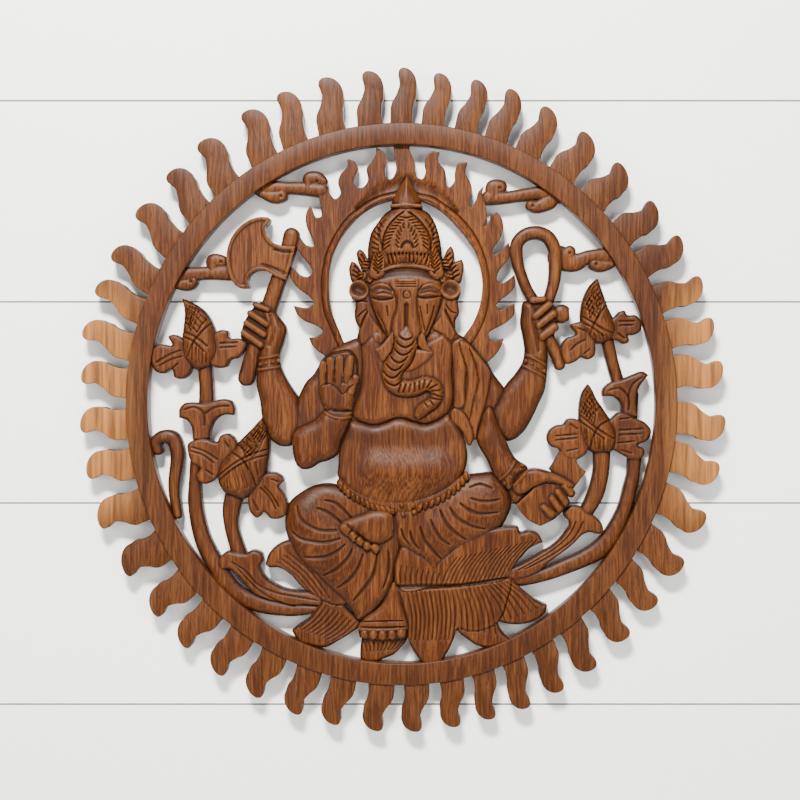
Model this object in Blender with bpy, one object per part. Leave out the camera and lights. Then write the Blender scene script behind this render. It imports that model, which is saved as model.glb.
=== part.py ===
"""A pierced wall panel of carved wood: a seated elephant-headed figure inside a ring of flames.

The panel is one board. Its back is flat and lies on the wall, in the plane y = 0, and its
carved front faces -Y. The origin is on the back, at the middle of the ring.
The carving inside the ring keeps its pose and proportions as shares of the ring's opening. It
is drawn from that middle, across and then up, in thousandths of the opening's width and height.
A third number is a half width, in thousandths of the width.
"""
import math

import bpy
import numpy as np
from mathutils import Vector
from mathutils.geometry import delaunay_2d_cdt

# The ring and its flames.
OPENING_WIDTH = 0.471
OPENING_HEIGHT = 0.481
RING_WIDTH = 0.0175
RAY_LENGTH = 0.046
RAY_FULLNESS = 1.0

# How far each part of the carving stands in front of the wall.
RING_DEPTH = 0.020
RAY_DEPTH = 0.0165
HALO_DEPTH = 0.012
STEM_DEPTH = 0.0135
LEAF_DEPTH = 0.0145
BUD_DEPTH = 0.0195
WEAPON_DEPTH = 0.0165
REAR_ARM_DEPTH = 0.0175
CHEST_DEPTH = 0.0175
SEAT_DEPTH = 0.0155
CROWN_DEPTH = 0.0185
HEAD_DEPTH = 0.0225
FRONT_DEPTH = 0.0255
PLATE_DEPTH = 0.0185

# How far a form falls away to its edge or stands in front of the next, and how deep the lines are.
EASED = 0.001
THIN_FALL = 0.004
THICK_FALL = 0.008
STEP = 0.001
LINE_DEPTH = 0.002
BELLY_RISE = 0.007
KNEE_RISE = 0.005
LEG_EDGE = 0.014
HEAD_EDGE = 0.014
LEAF_VEIN = 0.0012
AXE_RIM = 0.003
EAR_HOLLOW = 0.7

# How finely the board is cut.
CUT_STEP = 0.00125
MARGIN = 0.004
FACE_TRIANGLES = 4950
RIM_SLACK = 0.0006
RIM_CLEARANCE = 0.001
RIM_NEIGHBOURS = 8
TIGHT_GAP = 0.0015
RELIEF_WEIGHT = 1.6
NEAREST_CORNER = 0.15

# Where each flame's tip lies, in degrees anticlockwise, and its length as a share of the usual one.
RAYS = (
    (6.2, 0.99), (14.2, 0.97), (21.9, 1), (30, 0.99), (37.7, 0.93), (46.7, 0.97), (55, 1.01),
    (63.2, 1.05), (70.2, 1.1), (76.5, 1.08), (83.2, 1.08), (89.5, 1.14), (95.8, 1.11), (103.5, 1.13),
    (111.3, 1.11), (118.3, 1.08), (127.7, 1.07), (135.5, 1.03), (144, 1.04), (152.7, 1.03), (159.5, 1.05),
    (167.3, 1.07), (175, 0.96), (183.7, 0.97), (192, 0.97), (201, 1.02), (210.6, 0.98), (219.6, 0.98),
    (227.3, 0.99), (235.2, 0.99), (242.9, 0.99), (250.6, 0.99), (257.7, 0.98), (265.4, 0.98),
    (272.4, 0.98), (279.5, 0.97), (286, 0.98), (292.5, 1.01), (299.2, 1.01), (306.2, 1), (314.3, 0.97),
    (322, 0.97), (330.1, 1), (339.1, 1.02), (348.2, 1.01), (356.5, 1.01),
)

# One flame from foot to tip: how far along, how far it sways clockwise, and its width, as shares.
RAY_SHAPE = (
    (-0.10, 0.0, 0.80), (0.05, 0.0, 0.74), (0.20, 0.015, 0.70), (0.30, 0.01, 0.70), (0.40, -0.02, 0.66),
    (0.50, -0.09, 0.61), (0.60, -0.12, 0.54), (0.70, -0.138, 0.50), (0.80, -0.105, 0.485),
    (0.90, -0.046, 0.42),
    (0.965, -0.005, 0.28), (0.995, 0.02, 0.10),
)

# How many degrees further round a flame's foot is than its tip, and how much that changes.
RAY_LEAN = 0.6
RAY_LEAN_SWAY = 1.2

# Each row is one flame of the halo, from its root to its tip, with half widths.
HALO_CENTRE = (8.5, 227.5)
HALO_RADII = (150.5, 168.5)
HALO_BAND = 36
HALO_ENDS = (-38.0, 222.0)
HALO_LINE = 1.08
HALO_LINE_WIDTH = 3
HALO_POINTS = 19
HALO_FLAMES = (
    ((-101, 394, 25.5), (-108.5, 421, 17), (-103, 439.5, 17), (-95.5, 455.5, 10.5), (-101, 463.5, 5.5)),
    ((-45.5, 415, 27.5), (-49, 444, 18), (-44.5, 462.5, 15), (-42.5, 478, 8.5), (-45.5, 485.5, 5.5)),
    ((6.5, 424, 25.5), (6.5, 455.5, 19), (1, 482.5, 16), (0, 508.5, 15)),
    ((67, 421, 25.5), (65, 446, 19), (59.5, 466.5, 14), (67, 479, 6.5)),
    ((114.5, 396, 25.5), (120, 424, 18), (115.5, 446, 11.5), (125.5, 459.5, 6.5)),
    ((-136, 367, 25.5), (-147.5, 401, 11.5), (-147.5, 428.5, 6.5)),
    ((-152, 325.5, 21), (-175, 348, 16), (-178.5, 371, 9.5)),
    ((-161.5, 271.5, 19), (-187, 294, 16), (-200.5, 317, 9.5)),
    ((-164.5, 218.5, 21), (-194.5, 239, 16), (-216.5, 258, 6.5)),
    ((-157, 166.5, 19), (-180.5, 172.5, 14), (-204, 185, 6.5)),
    ((-136, 114.5, 18), (-155, 120.5, 12.5), (-176, 126, 5.5)),
    ((149.5, 361.5, 25.5), (161.5, 389, 14), (160.5, 411.5, 7.5)),
    ((169, 307.5, 21), (181.5, 334.5, 17), (188, 358.5, 8.5)),
    ((178.5, 258, 19), (198.5, 279.5, 16), (208, 300.5, 7.5)),
    ((182.5, 209, 19), (201.5, 221.5, 16), (217.5, 239, 6.5)),
    ((178.5, 162, 19), (200.5, 172.5, 15), (217.5, 185, 6.5)),
    ((163.5, 105, 19), (178.5, 114.5, 16), (195.5, 122.5, 6.5)),
)

# Stems, each from its root to its flower.
STEMS = (
    ((-170.5, -394, 8), (-200, -396, 11.5), (-239, -394, 13.5), (-280, -385.5, 15.5),
     (-329, -361.5, 17.5),
     (-368.5, -306, 16.5), (-391, -261.5, 16), (-401, -223, 15), (-406.5, -185, 13.5),
     (-406.5, -146.5, 11.5), (-405.5, -112, 10.5)),
    ((-156.5, -379, 8), (-184, -373, 12.5), (-219.5, -371, 15.5), (-249, -363.5, 16.5),
     (-275.5, -351, 18.5), (-294, -331, 19.5), (-311.5, -309.5, 19.5)),
    ((-317.5, -294.5, 14.5), (-327, -265.5, 13.5), (-335, -233, 14), (-335, -202, 16.5),
     (-329, -175, 18.5)),
    ((-394, -66, 16.5), (-394, -31, 18.5)),
    ((-384, -2.5, 14.5), (-384, 36, 13.5), (-387, 72.5, 13.5)),
    ((202.5, -338.5, 10.5), (231.5, -338.5, 11.5), (277, -330, 12.5), (320, -313.5, 14.5),
     (357, -298, 15.5), (388.5, -281, 17.5), (406, -261.5, 16.5), (424, -235, 15.5), (438.5, -200, 14),
     (448.5, -165.5, 13.5), (454.5, -137, 12.5), (457, -98.5, 13.5)),
    ((198.5, -334.5, 8), (222, -329, 11.5), (241.5, -320, 13.5), (261, -309.5, 14.5), (283.5, -293.5, 14),
     (308, -277, 14.5), (326, -261.5, 15), (339.5, -245.5, 16.5), (345.5, -223, 17.5)),
    ((365, -204, 13.5), (380.5, -173.5, 15.5), (388.5, -146.5, 15.5), (392.5, -117.5, 15.5),
     (392.5, -92.5, 16.5)),
    ((449.5, -23.5, 13.5), (449.5, 17, 15.5)),
    ((428, 34, 11.5), (414, 80, 11.5), (404, 122.5, 11.5)),
    ((-480, -88, 10.5), (-483, -73.5, 11.5), (-470.5, -64, 12.5), (-453, -66, 13.5), (-442, -87, 13.5),
     (-443, -117.5, 12.5), (-447, -146.5, 11.5), (-447, -175, 10.5), (-441, -211.5, 10)),
)

# The small cups under the flowers, each in two arms that meet on the stem.
CUPS = (
    ((-389.5, -21, 21), (-411, -9.5, 14), (-424.5, -13.5, 11.5)),
    ((-389.5, -21, 21), (-362, -6, 15), (-338.5, -6, 14)),
    ((-317, -303.5, 19.5), (-337, -300, 15.5), (-348.5, -302, 10.5)),
    ((-307.5, -305.5, 19.5), (-288, -297, 13.5)),
    ((341.5, -213.5, 17.5), (328.5, -209.5, 10.5)),
    ((355, -217.5, 18.5), (376.5, -230.5, 15.5), (384.5, -238.5, 10.5)),
    ((442.5, 25, 18), (417, 25, 12.5), (403.5, 27, 8.5)),
    ((446, 27, 18), (459.5, 43.5, 12.5), (471.5, 52, 9.5)),
)

# Flower buds, from the pointed tip to the round foot.
BUDS = (
    ((-428, 197.5, 3), (-413, 173.5, 17), (-401.5, 141.5, 29.5), (-396, 111, 35), (-391.5, 89.5, 25.5)),
    ((-275, -30, 3), (-284.5, -57, 23.5), (-296, -86.5, 35), (-313, -128, 43.5), (-317.5, -153, 29.5)),
    ((384.5, 237, 3), (380, 209, 18), (382, 175.5, 28.5), (385.5, 147.5, 34), (389.5, 136, 21)),
    ((367.5, 32, 3), (366, 9.5, 17), (378, -29, 31), (386.5, -55, 36), (389.5, -68.5, 25.5)),
)

# Leaves beside the buds, one row for each lobe.
LEAVES = (
    ((-421.5, 95.5, 14), (-459.5, 91.5, 23.5), (-466, 91.5, 23.5)),
    ((-413, 107, 16), (-442.5, 120.5, 12.5)),
    ((-408.5, 77, 11.5), (-431, 63.5, 14)),
    ((-368.5, 109, 16), (-338.5, 109, 20), (-324, 109, 18)),
    ((-368.5, 122.5, 11.5), (-350.5, 130, 11.5)),
    ((-368.5, 89.5, 14), (-350.5, 82, 11.5)),
    ((-350.5, -107, 18), (-380, -91.5, 25.5), (-391.5, -89.5, 24.5)),
    ((-343, -80, 9.5), (-343, -73, 16)),
    ((-354.5, -134, 11.5), (-382, -134, 17)),
    ((-280.5, -161, 16), (-261, -178, 25.5), (-252.5, -187, 27.5)),
    ((-273, -149.5, 14), (-247.5, -143.5, 14)),
    ((-292, -180, 9.5), (-284.5, -200.5, 14)),
    ((368.5, 113.5, 11.5), (336.5, 109, 23.5), (329, 107, 23.5)),
    ((360, 141.5, 9.5), (343, 145.5, 11.5)),
    ((364, 105, 9.5), (362, 97.5, 10.5)),
    ((411, 155, 11.5), (436.5, 153, 19), (448, 153, 18)),
    ((415, 166.5, 7.5), (431, 172.5, 8.5)),
    ((411, 134, 9.5), (433, 132, 11.5)),
    ((360, -63.5, 18), (325, -63.5, 23.5), (308, -63.5, 23.5)),
    ((356.5, -45.5, 11.5), (333.5, -40.5, 11.5)),
    ((411, -55, 18), (442.5, -50, 29.5), (457.5, -54, 31)),
    ((411, -40.5, 11.5), (434, -27, 12.5)),
    ((415, -77, 11.5), (440.5, -88.5, 17), (456.5, -89.5, 16)),
)

# Scroll links that tie the halo, the weapons and the flowers to the ring.
SCROLLS = (
    ((-273, 412.5, 18), (-227, 415, 11.5), (-192, 412.5, 12.5), (-155, 409.5, 14)),
    ((-273, 403.5, 7.5), (-245, 398, 14), (-235.5, 400, 12.5)),
    ((-182.5, 412.5, 7.5), (-180.5, 432.5, 11.5), (-164.5, 432.5, 14), (-153, 426, 9.5)),
    ((-440.5, 245.5, 19), (-413, 248.5, 14), (-384.5, 250.5, 12.5), (-331, 252.5, 16)),
    ((-436.5, 232, 11.5), (-413, 232, 11.5), (-407.5, 235, 9.5)),
    ((-370.5, 260, 9.5), (-368.5, 273.5, 14), (-350.5, 273.5, 11.5)),
    ((310, 403.5, 18), (270.5, 405.5, 12.5), (231.5, 400, 11.5), (200.5, 396, 11.5), (171, 396, 14)),
    ((290, 390, 16), (262, 378.5, 11.5), (252.5, 380.5, 10.5)),
    ((180.5, 400, 14), (180.5, 415, 16), (194.5, 417, 12.5)),
    ((310, 280.5, 23.5), (338.5, 271.5, 18), (368.5, 282.5, 12.5), (411, 282.5, 18)),
    ((321.5, 279.5, 19), (329, 293, 11.5)),
    ((411, 268, 7.5), (387.5, 266, 12.5), (378, 268, 11.5)),
)

# The axe, the noose and the plate of sweets.
AXE_BLADE = (
    (-257, 353.5), (-273, 357.5), (-310, 344), (-329, 323.5), (-341, 293), (-338.5, 257), (-327, 232),
    (-308, 221.5), (-298.5, 225.5),
    (-299.5, 241), (-287.5, 254.5), (-270.5, 257), (-250.5, 245.5), (-229.5, 235), (-217.5, 269),
    (-210, 300.5), (-239, 304.5),
    (-261, 317), (-268.5, 334.5), (-262, 346),
)
AXE_HANDLE = ((-217.5, 323.5, 16), (-227, 282.5, 14), (-243, 237, 14), (-259, 191.5, 15),
    (-278, 137, 15), (-305.5, 50, 16))
NOOSE = (
    (262, 195.5, 11.5), (249.5, 214, 11.5), (235.5, 245.5, 11.5), (226, 280.5, 11.5),
    (227, 307.5, 12.5), (243, 325.5, 12.5), (264.5, 330.5, 12.5),
    (286.5, 321, 12.5), (299.5, 300.5, 12.5), (301.5, 268, 12.5), (298.5, 232, 11.5),
    (287.5, 198.5, 10.5),
)
NOOSE_HANDLE = ((287.5, 141.5, 11.5), (298.5, 107, 11.5), (310, 75, 11.5))
NOOSE_KNOB = ((313, 173.5, 18), (315.5, 173.5, 18))
SWEETS_PLATE = (
    (224, -195.5), (224, -195.5), (273, -147.5), (290, -124.5), (290, -124.5), (313, -93.5),
    (313, -93.5), (345, -97.5), (343, -109),
    (360, -130), (360, -130), (335.5, -162), (321.5, -197.5), (273, -233), (273, -233),
)

# The figure, from back to front.
REAR_LEFT_ARM = ((-243, 164, 14), (-243, 134, 16), (-257, 103, 18), (-259, 61.5, 23.5),
    (-252.5, 23, 31), (-243, -15.5, 33),
                 (-235.5, -45.5, 29.5), (-229.5, -61.5, 21))
REAR_RIGHT_ARM = ((252.5, 164, 16), (252.5, 126, 18), (261, 88.5, 23.5), (249.5, 45.5, 31),
    (229.5, 4, 39.5), (213.5, -30, 31),
                  (208, -50, 21))
LEFT_FIST = ((-273, 197.5), (-296, 182), (-311, 153), (-315.5, 128), (-296, 111), (-276, 105),
    (-261, 126), (-252.5, 161),
             (-257, 187))
LEFT_FINGERS = (
    ((-273, 189, 6.5), (-261, 178, 6.5)),
    ((-294, 175.5, 7.5), (-266.5, 153, 7.5)),
    ((-303.5, 157, 7.5), (-270.5, 134, 7.5)),
    ((-311, 132, 7.5), (-276, 109, 7.5)),
)
RIGHT_FIST = ((250.5, 198.5), (280.5, 205), (301.5, 191.5), (303.5, 161), (299.5, 132), (282.5, 120.5),
    (266.5, 141.5), (255, 170.5))
RIGHT_FINGERS = (
    ((257, 195.5, 7.5), (282.5, 198.5, 7.5)),
    ((262, 166.5, 8.5), (290, 187, 8.5)),
    ((268.5, 150.5, 8.5), (296, 170.5, 8.5)),
    ((276, 130, 8.5), (298.5, 145.5, 8.5)),
)
SHOULDER_LEFT = ((-96.5, 100, 19), (-120, 84, 33), (-149.5, 50, 35), (-173, 11.5, 39.5),
    (-184.5, -30, 33), (-192, -68.5, 25.5))
SHOULDER_RIGHT = ((98.5, 113.5, 23.5), (126.5, 91.5, 31), (153, 52, 33), (177.5, 15.5, 29.5),
    (189, -7.5, 18))
FOREARM_LEFT = ((-187, -91.5, 31), (-163.5, -73, 35), (-140, -45.5, 29.5), (-124, -15.5, 25.5),
    (-124, 4, 29.5))
FOREARM_RIGHT = ((164.5, -7.5, 18), (169, -40.5, 25.5), (177.5, -73, 29.5), (192, -103, 29.5),
    (213.5, -134, 25.5), (219.5, -153, 21))
PALM = ((-159, 38.5), (-155, 61.5), (-131.5, 73), (-101, 61.5), (-87, 50), (-94.5, 17.5),
    (-101, -15.5), (-147.5, -13.5), (-157, 11.5))
PALM_FINGERS = (
    ((-153, 38.5, 6.5), (-154, 77, 6.5)),
    ((-140, 45.5, 6.5), (-140, 83, 6.5)),
    ((-124, 45.5, 7.5), (-122, 85, 6.5)),
    ((-106, 50, 7.5), (-103, 84, 6.5)),
    ((-96.5, 23, 8.5), (-91.5, 54, 6.5)),
)
RIGHT_HAND = ((219.5, -149.5, 27.5), (235.5, -168.5, 25.5), (250.5, -175.5, 23.5))
THUMB = ((219.5, -159, 16), (243, -139.5, 11.5), (276, -136, 10.5), (305.5, -145.5, 6.5))
KNUCKLES = (
    ((313, -157, 6.5), (329, -170.5, 7.5)),
    ((305.5, -170.5, 7.5), (324, -184, 7.5)),
    ((290, -184, 7.5), (310, -202.5, 8.5)),
    ((280.5, -198.5, 7.5), (294, -212, 8.5)),
)
CHEST = ((-96.5, 116.5), (-50, 136), (-3, 103), (67, 136), (106, 122.5), (106, 45.5), (98.5, -2),
    (118, -45.5), (75.5, -78),
         (-3, -88.5), (-80.5, -78), (-110.5, -55), (-101, -27), (-89, 17.5))
BREAST = ((-79.5, 113.5), (-42.5, 113.5), (-3, 84), (67, 122.5), (96.5, 113.5), (96.5, 27),
    (92.5, -7.5), (69, -30),
          (45.5, -38.5), (6.5, -29), (-32, -34.5), (-57.5, -41.5), (-80.5, -34.5), (-96.5, -18.5),
          (-83, 27))
SLEEVE = ((98.5, 122.5), (124, 113.5), (153, 80), (173, 55), (171, 27), (161.5, -7.5), (149.5, -50),
    (140, -75), (126.5, -73),
          (112.5, -43.5), (96.5, -2))
BELLY = ((-110.5, -50), (-124, -97.5), (-126.5, -134), (-106, -162), (-77.5, -185), (-42.5, -197.5),
    (-3, -193.5), (26.5, -189), (59.5, -180),
         (94.5, -159), (118, -137), (128.5, -111), (124, -68.5), (112.5, -43.5), (75.5, -61.5),
         (-3, -68.5), (-77.5, -61.5))
BELLY_SWELL = ((-45.5, -111, 81.5), (6.5, -122.5, 90), (59.5, -111, 78.5))
BELT = ((-118, -150.5, 6.5), (-96.5, -173.5, 6.5), (-67, -193.5, 6.5), (-26.5, -200.5, 6.5),
    (6.5, -197.5, 9.5), (43.5, -187, 6.5),
        (80.5, -173.5, 6.5), (110.5, -150.5, 6.5), (126.5, -130, 6.5))
LEG_LEFT = ((-129.5, -153), (-155, -153), (-187, -162), (-217.5, -185), (-229.5, -221.5), (-224, -260),
    (-201.5, -298.5), (-163.5, -334.5),
            (-124, -371), (-96.5, -403.5), (-80.5, -419), (-54, -403.5), (-26.5, -371),
            (-12.5, -332.5), (-5.5, -294), (-6.5, -260),
            (-18, -207), (-52, -193.5), (-96.5, -173.5))
LEG_RIGHT = ((126.5, -132), (153, -134), (180.5, -134), (206, -159), (215.5, -189), (196.5, -235),
    (161.5, -262), (110.5, -285),
             (85, -304.5), (67, -328.5), (50, -316), (24.5, -293), (-3, -280.5), (-18, -260),
             (-18, -207), (6.5, -197.5),
             (59.5, -184), (98.5, -161))
KNEES = (((-178.5, -212, 67), (-129.5, -250.5, 67)), ((153, -189, 62.5), (94.5, -232, 62.5)))
FOLDS_LEFT = (
    ((-163.5, -198.5, 4), (-140, -210, 4), (-115.5, -227.5, 4)),
    ((-201.5, -198.5, 4), (-182.5, -229.5, 4), (-155, -241, 4), (-126.5, -241, 4)),
    ((-213.5, -245.5, 4), (-182.5, -262, 4), (-149.5, -264, 4), (-120, -257, 4)),
    ((-189, -294, 4), (-159, -293, 4), (-129.5, -282.5, 4), (-108.5, -268, 4)),
    ((-153, -330.5, 4), (-124, -312, 4), (-101, -280.5, 4)),
    ((-126.5, -353.5, 4), (-96.5, -330.5, 4), (-75.5, -289, 4)),
    ((-96.5, -378.5, 4), (-67, -346, 4), (-50, -287, 4)),
    ((-34, -352.5, 4), (-20, -317, 4), (-20, -279.5, 4)),
)
FOLDS_RIGHT = (
    ((138, -182, 4), (163.5, -187, 4), (189, -182, 4)),
    ((114.5, -189, 4), (138, -205, 4), (169, -210, 4), (192, -207, 4)),
    ((92.5, -197.5, 4), (120, -223.5, 4), (163.5, -239, 4)),
    ((75.5, -202.5, 4), (92.5, -233, 4), (126.5, -262, 4)),
    ((57.5, -223.5, 4), (71, -248.5, 4), (94.5, -273.5, 4)),
    ((36, -235, 4), (52, -266, 4), (75.5, -296.5, 4)),
    ((15, -246.5, 4), (34, -279.5, 4)),
)
RESTING_FOOT = ((-96.5, -221.5), (-66, -205), (-18, -209), (-17, -254.5), (-38, -269), (-66, -266),
    (-96.5, -248.5), (-114.5, -235))
FRONT_SHIN = ((-10.5, -346), (-31, -378.5), (-69, -412.5), (-80.5, -436.5), (-57.5, -444),
    (-12.5, -446), (10.5, -437.5), (6.5, -403.5),
              (-3, -359.5))
FRONT_TOES = ((-71, -439.5, 6.5), (-55, -442, 6.5), (-38, -444, 7.5), (-20, -444, 7.5), (-1, -442, 9.5))
RESTING_TOES = ((-110.5, -237, 10.5), (-96.5, -250.5, 7.5), (-85, -262, 7.5), (-71, -269, 7.5),
    (-54, -273.5, 8.5))

# The head.
CROWN = ((3, 439.5), (3, 439.5), (22.5, 412.5), (40.5, 389), (40.5, 375.5), (63.5, 350.5), (75.5, 317),
    (80.5, 282.5), (83, 252.5),
         (55, 252.5), (-32, 252.5), (-71, 246.5), (-69, 282.5), (-63.5, 319), (-45.5, 352.5),
         (-22.5, 375.5), (-22.5, 389), (-12.5, 415))
CROWN_LEAVES = (
    ((-69, 271.5, 14), (-79.5, 282.5, 9.5), (-81.5, 294, 5.5)),
    ((-73, 257, 18), (-91.5, 260, 11.5), (-97.5, 269, 5.5)),
    ((83, 271.5, 16), (92.5, 287, 11.5), (95.5, 300.5, 5.5)),
    ((91.5, 257, 18), (110.5, 260, 14), (118, 273.5, 5.5)),
    ((-77.5, 243, 14), (-92.5, 245.5, 9.5)),
    ((94.5, 245.5, 16), (112.5, 248.5, 11.5)),
)
HEAD = ((-96.5, 218.5), (-73, 243), (-34, 252.5), (45.5, 252.5), (87, 241), (110.5, 216), (106, 184),
    (87, 150.5), (63.5, 126),
        (32, 111), (-15, 111), (-45.5, 126), (-69, 150.5), (-85, 184))
EAR_LEFT = ((-96.5, 229.5), (-103, 210), (-91.5, 191.5), (-92.5, 166.5), (-85, 147.5), (-89, 118.5),
    (-66, 113.5), (-45.5, 126),
            (-54, 161), (-61.5, 202.5), (-66, 225.5))
EAR_RIGHT = ((114.5, 229.5), (114.5, 202.5), (114.5, 180), (106, 157), (110.5, 130), (91.5, 118.5),
    (63.5, 126), (71, 161),
             (83, 198.5), (87, 225.5))
EAR_CUPS = ((-84, 216, 18), (94.5, 217.5, 18))
TRUNK = ((10.5, 214, 21), (8.5, 175.5, 26.5), (8.5, 137, 27.5), (3, 103, 24.5), (-12.5, 77, 23.5),
    (-20, 52, 20),
         (-10.5, 32, 19), (12.5, 27, 18), (32, 30, 17), (50, 34.5, 16), (61.5, 21, 17), (57.5, 4, 17),
         (43.5, -9.5, 15), (34, -17.5, 10.5))
TUSKS = (((-18, 111, 10.5), (-34, 102, 10.5), (-43.5, 95.5, 7.5)), ((32, 116.5, 9.5), (50, 107, 7.5),
    (59.5, 100, 4)))
NECK_PADS = ((-50, 124.5, 16), (67, 124.5, 18))

# Lines cut into the figure, and small raised bands around its wrists.
BELLY_HOLLOW = ((-101, -63.5, 14), (-52, -70.5, 16), (6.5, -68.5, 16), (69, -65.5, 14), (106, -57, 11.5))
SLEEVE_FOLDS = (
    ((124, 113.5, 4), (128.5, 65.5, 4), (124, 36.5, 4), (122, -2, 4)),
    ((147.5, 75, 4), (152, 45.5, 4), (141, 7.5, 4), (136, -27, 4)),
    ((101, 113.5, 4), (100, 55, 4), (100, 4, 4)),
)
BANGLES = (
    ((-282.5, 73, 8.5), (-261, 78, 8.5), (-238, 84, 8.5)),
    ((239, 86.5, 8.5), (262, 75, 8.5), (284.5, 65.5, 8.5)),
)
CUFFS = (
    ((-152, -13.5, 6.5), (-128.5, -21, 6.5), (-101, -23, 6.5)),
    ((233.5, -120.5, 6.5), (210, -155, 6.5)),
)
EYE_HOLLOWS = (
    ((-59.5, 214, 6.5), (-42.5, 227.5, 6.5), (-20, 227.5, 6.5), (-10.5, 212, 6.5)),
    ((26.5, 212, 6.5), (38, 227.5, 6.5), (59.5, 229.5, 6.5), (75.5, 216, 6.5)),
)
EYE_LIDS = (
    ((-50, 210, 7.5), (-34, 215, 11.5), (-20, 210, 7.5)),
    ((36, 211, 7.5), (52, 217.5, 11.5), (67, 212, 7.5)),
)
EYES = (((-57.5, 203.5, 4), (-34, 200.5, 4), (-12.5, 202.5, 4)), ((28.5, 205, 4), (52, 202.5, 4),
    (73, 207, 4)))
CHEEK_LINES = (
    ((-50, 187, 4), (-38, 150.5, 4), (-28.5, 130, 4)),
    ((66, 191.5, 4), (59.5, 157, 4), (50, 134, 4)),
)
TRUNK_SLOT = ((9.5, 191.5, 6.5), (9.5, 143.5, 6.5))
TRUNK_RINGS = (
    ((-12.5, 134, 4), (8.5, 124.5, 4), (32, 134, 4)),
    ((-17, 114.5, 4), (6.5, 105, 4), (31, 114.5, 4)),
    ((-22.5, 97.5, 4), (1, 86.5, 4), (22.5, 95.5, 4)),
    ((-32, 80, 4), (-10.5, 68.5, 4), (8.5, 77, 4)),
)
HEADBAND = ((-36, 254.5, 6.5), (-12.5, 260, 6.5), (10.5, 263, 6.5), (36, 260, 6.5), (55, 254.5, 6.5))
CROWN_LINES = (
    ((-20, 378.5, 4), (8.5, 373, 4), (38, 378.5, 4)),
    ((-36, 302.5, 4), (-28.5, 330.5, 4), (-10.5, 357.5, 4), (10.5, 367, 4), (32, 357.5, 4),
     (50, 332.5, 4), (57.5, 304.5, 4)),
)

# The lotus seat, one outline for each petal, with the lines carved along it.
PETALS = (
    ((-213.5, -432.5), (-213.5, -432.5), (-192, -417), (-173, -396), (-157, -378.5), (-120, -378.5),
     (-92.5, -409.5), (-80.5, -436.5), (-101, -444),
     (-131.5, -459.5), (-163.5, -469), (-201.5, -460.5)),
    ((-264.5, -307.5), (-264.5, -307.5), (-257, -280.5), (-238, -264), (-217.5, -262), (-198.5, -294),
     (-155, -337), (-120, -371), (-110.5, -390),
     (-159, -382.5), (-187, -355.5), (-213.5, -327.5), (-238, -314)),
    ((-89, -428.5), (-80.5, -462.5), (-79.5, -497), (-45.5, -494), (-18, -482.5), (-1, -466.5),
     (10.5, -444), (10.5, -424), (-42.5, -428.5)),
    ((-10.5, -348), (17, -342), (75.5, -352.5), (134, -348), (187, -341), (187, -412.5), (153, -424),
     (110.5, -434.5), (92.5, -469),
     (71, -501), (43.5, -501), (17, -466.5), (8.5, -423)),
    ((110.5, -428.5), (110.5, -436.5), (126.5, -449), (153, -464.5), (184.5, -471), (212.5, -451),
     (196.5, -436.5), (184.5, -409.5), (153, -412.5)),
    ((187, -342), (231.5, -348), (255, -369), (284.5, -382.5), (284.5, -382.5), (278, -401),
     (247.5, -417), (201.5, -419), (180.5, -409.5)),
    ((1, -280.5), (-10.5, -327.5), (-6.5, -352.5), (55, -355.5), (134, -350.5), (192, -342),
     (215.5, -323.5), (233.5, -294), (252.5, -275.5),
     (276, -262), (276, -262), (264.5, -243), (231.5, -243), (213.5, -233), (182.5, -241),
     (161.5, -262), (110.5, -285), (67, -328.5)),
)

# Flutes across the petals: where the first and last begin, where they end, and how many there are.
FLUTE_WIDTH = 4
FLUTES = (
    ((-155, -384.5), (-101, -411.5), (-198.5, -426), (-143.5, -448), 5),
    ((10.5, -364), (91.5, -357.5), (24.5, -451), (96.5, -455.5), 5),
    ((108.5, -355.5), (159, -350.5), (126.5, -432.5), (184.5, -444), 4),
    ((173, -348), (208, -342), (208, -405.5), (266.5, -390), 3),
    ((87, -342), (204, -327.5), (115.5, -296.5), (250.5, -260), 7),
)
SEAT_RIB = ((-3, -355.5, 4), (55, -352.5, 4), (134, -348, 4), (208, -334.5, 4))


def smooth(points, closed=False, spans=5):
    """Points along a smooth curve through the given rows. A row given twice makes a corner."""
    rows = np.array(points, float)
    count = len(rows)
    if closed:
        ahead = np.roll(rows, -1, 0)
        behind = np.roll(rows, 1, 0)
    else:
        ahead = np.vstack((rows[1:], rows[-1:]))
        behind = np.vstack((rows[:1], rows[:-1]))
    reach = np.linalg.norm((ahead - rows)[:, :2], axis=1)[:, None] + 1e-6
    trail = np.linalg.norm((rows - behind)[:, :2], axis=1)[:, None] + 1e-6
    slope = ((ahead - rows) / reach * trail + (rows - behind) / trail * reach) / (reach + trail)
    line = []
    for i in range(count if closed else count - 1):
        j = (i + 1) % count
        if reach[i, 0] < 1e-3:
            continue
        for t in np.arange(spans) / spans:
            a = 2 * t**3 - 3 * t**2 + 1
            b = t**3 - 2 * t**2 + t
            line.append(a * rows[i] + b * reach[i] * slope[i]
                        + (1 - a) * rows[j] + (t**3 - t**2) * reach[i] * slope[j])
    if not closed:
        line.append(rows[-1])
    return np.array(line)


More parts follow.
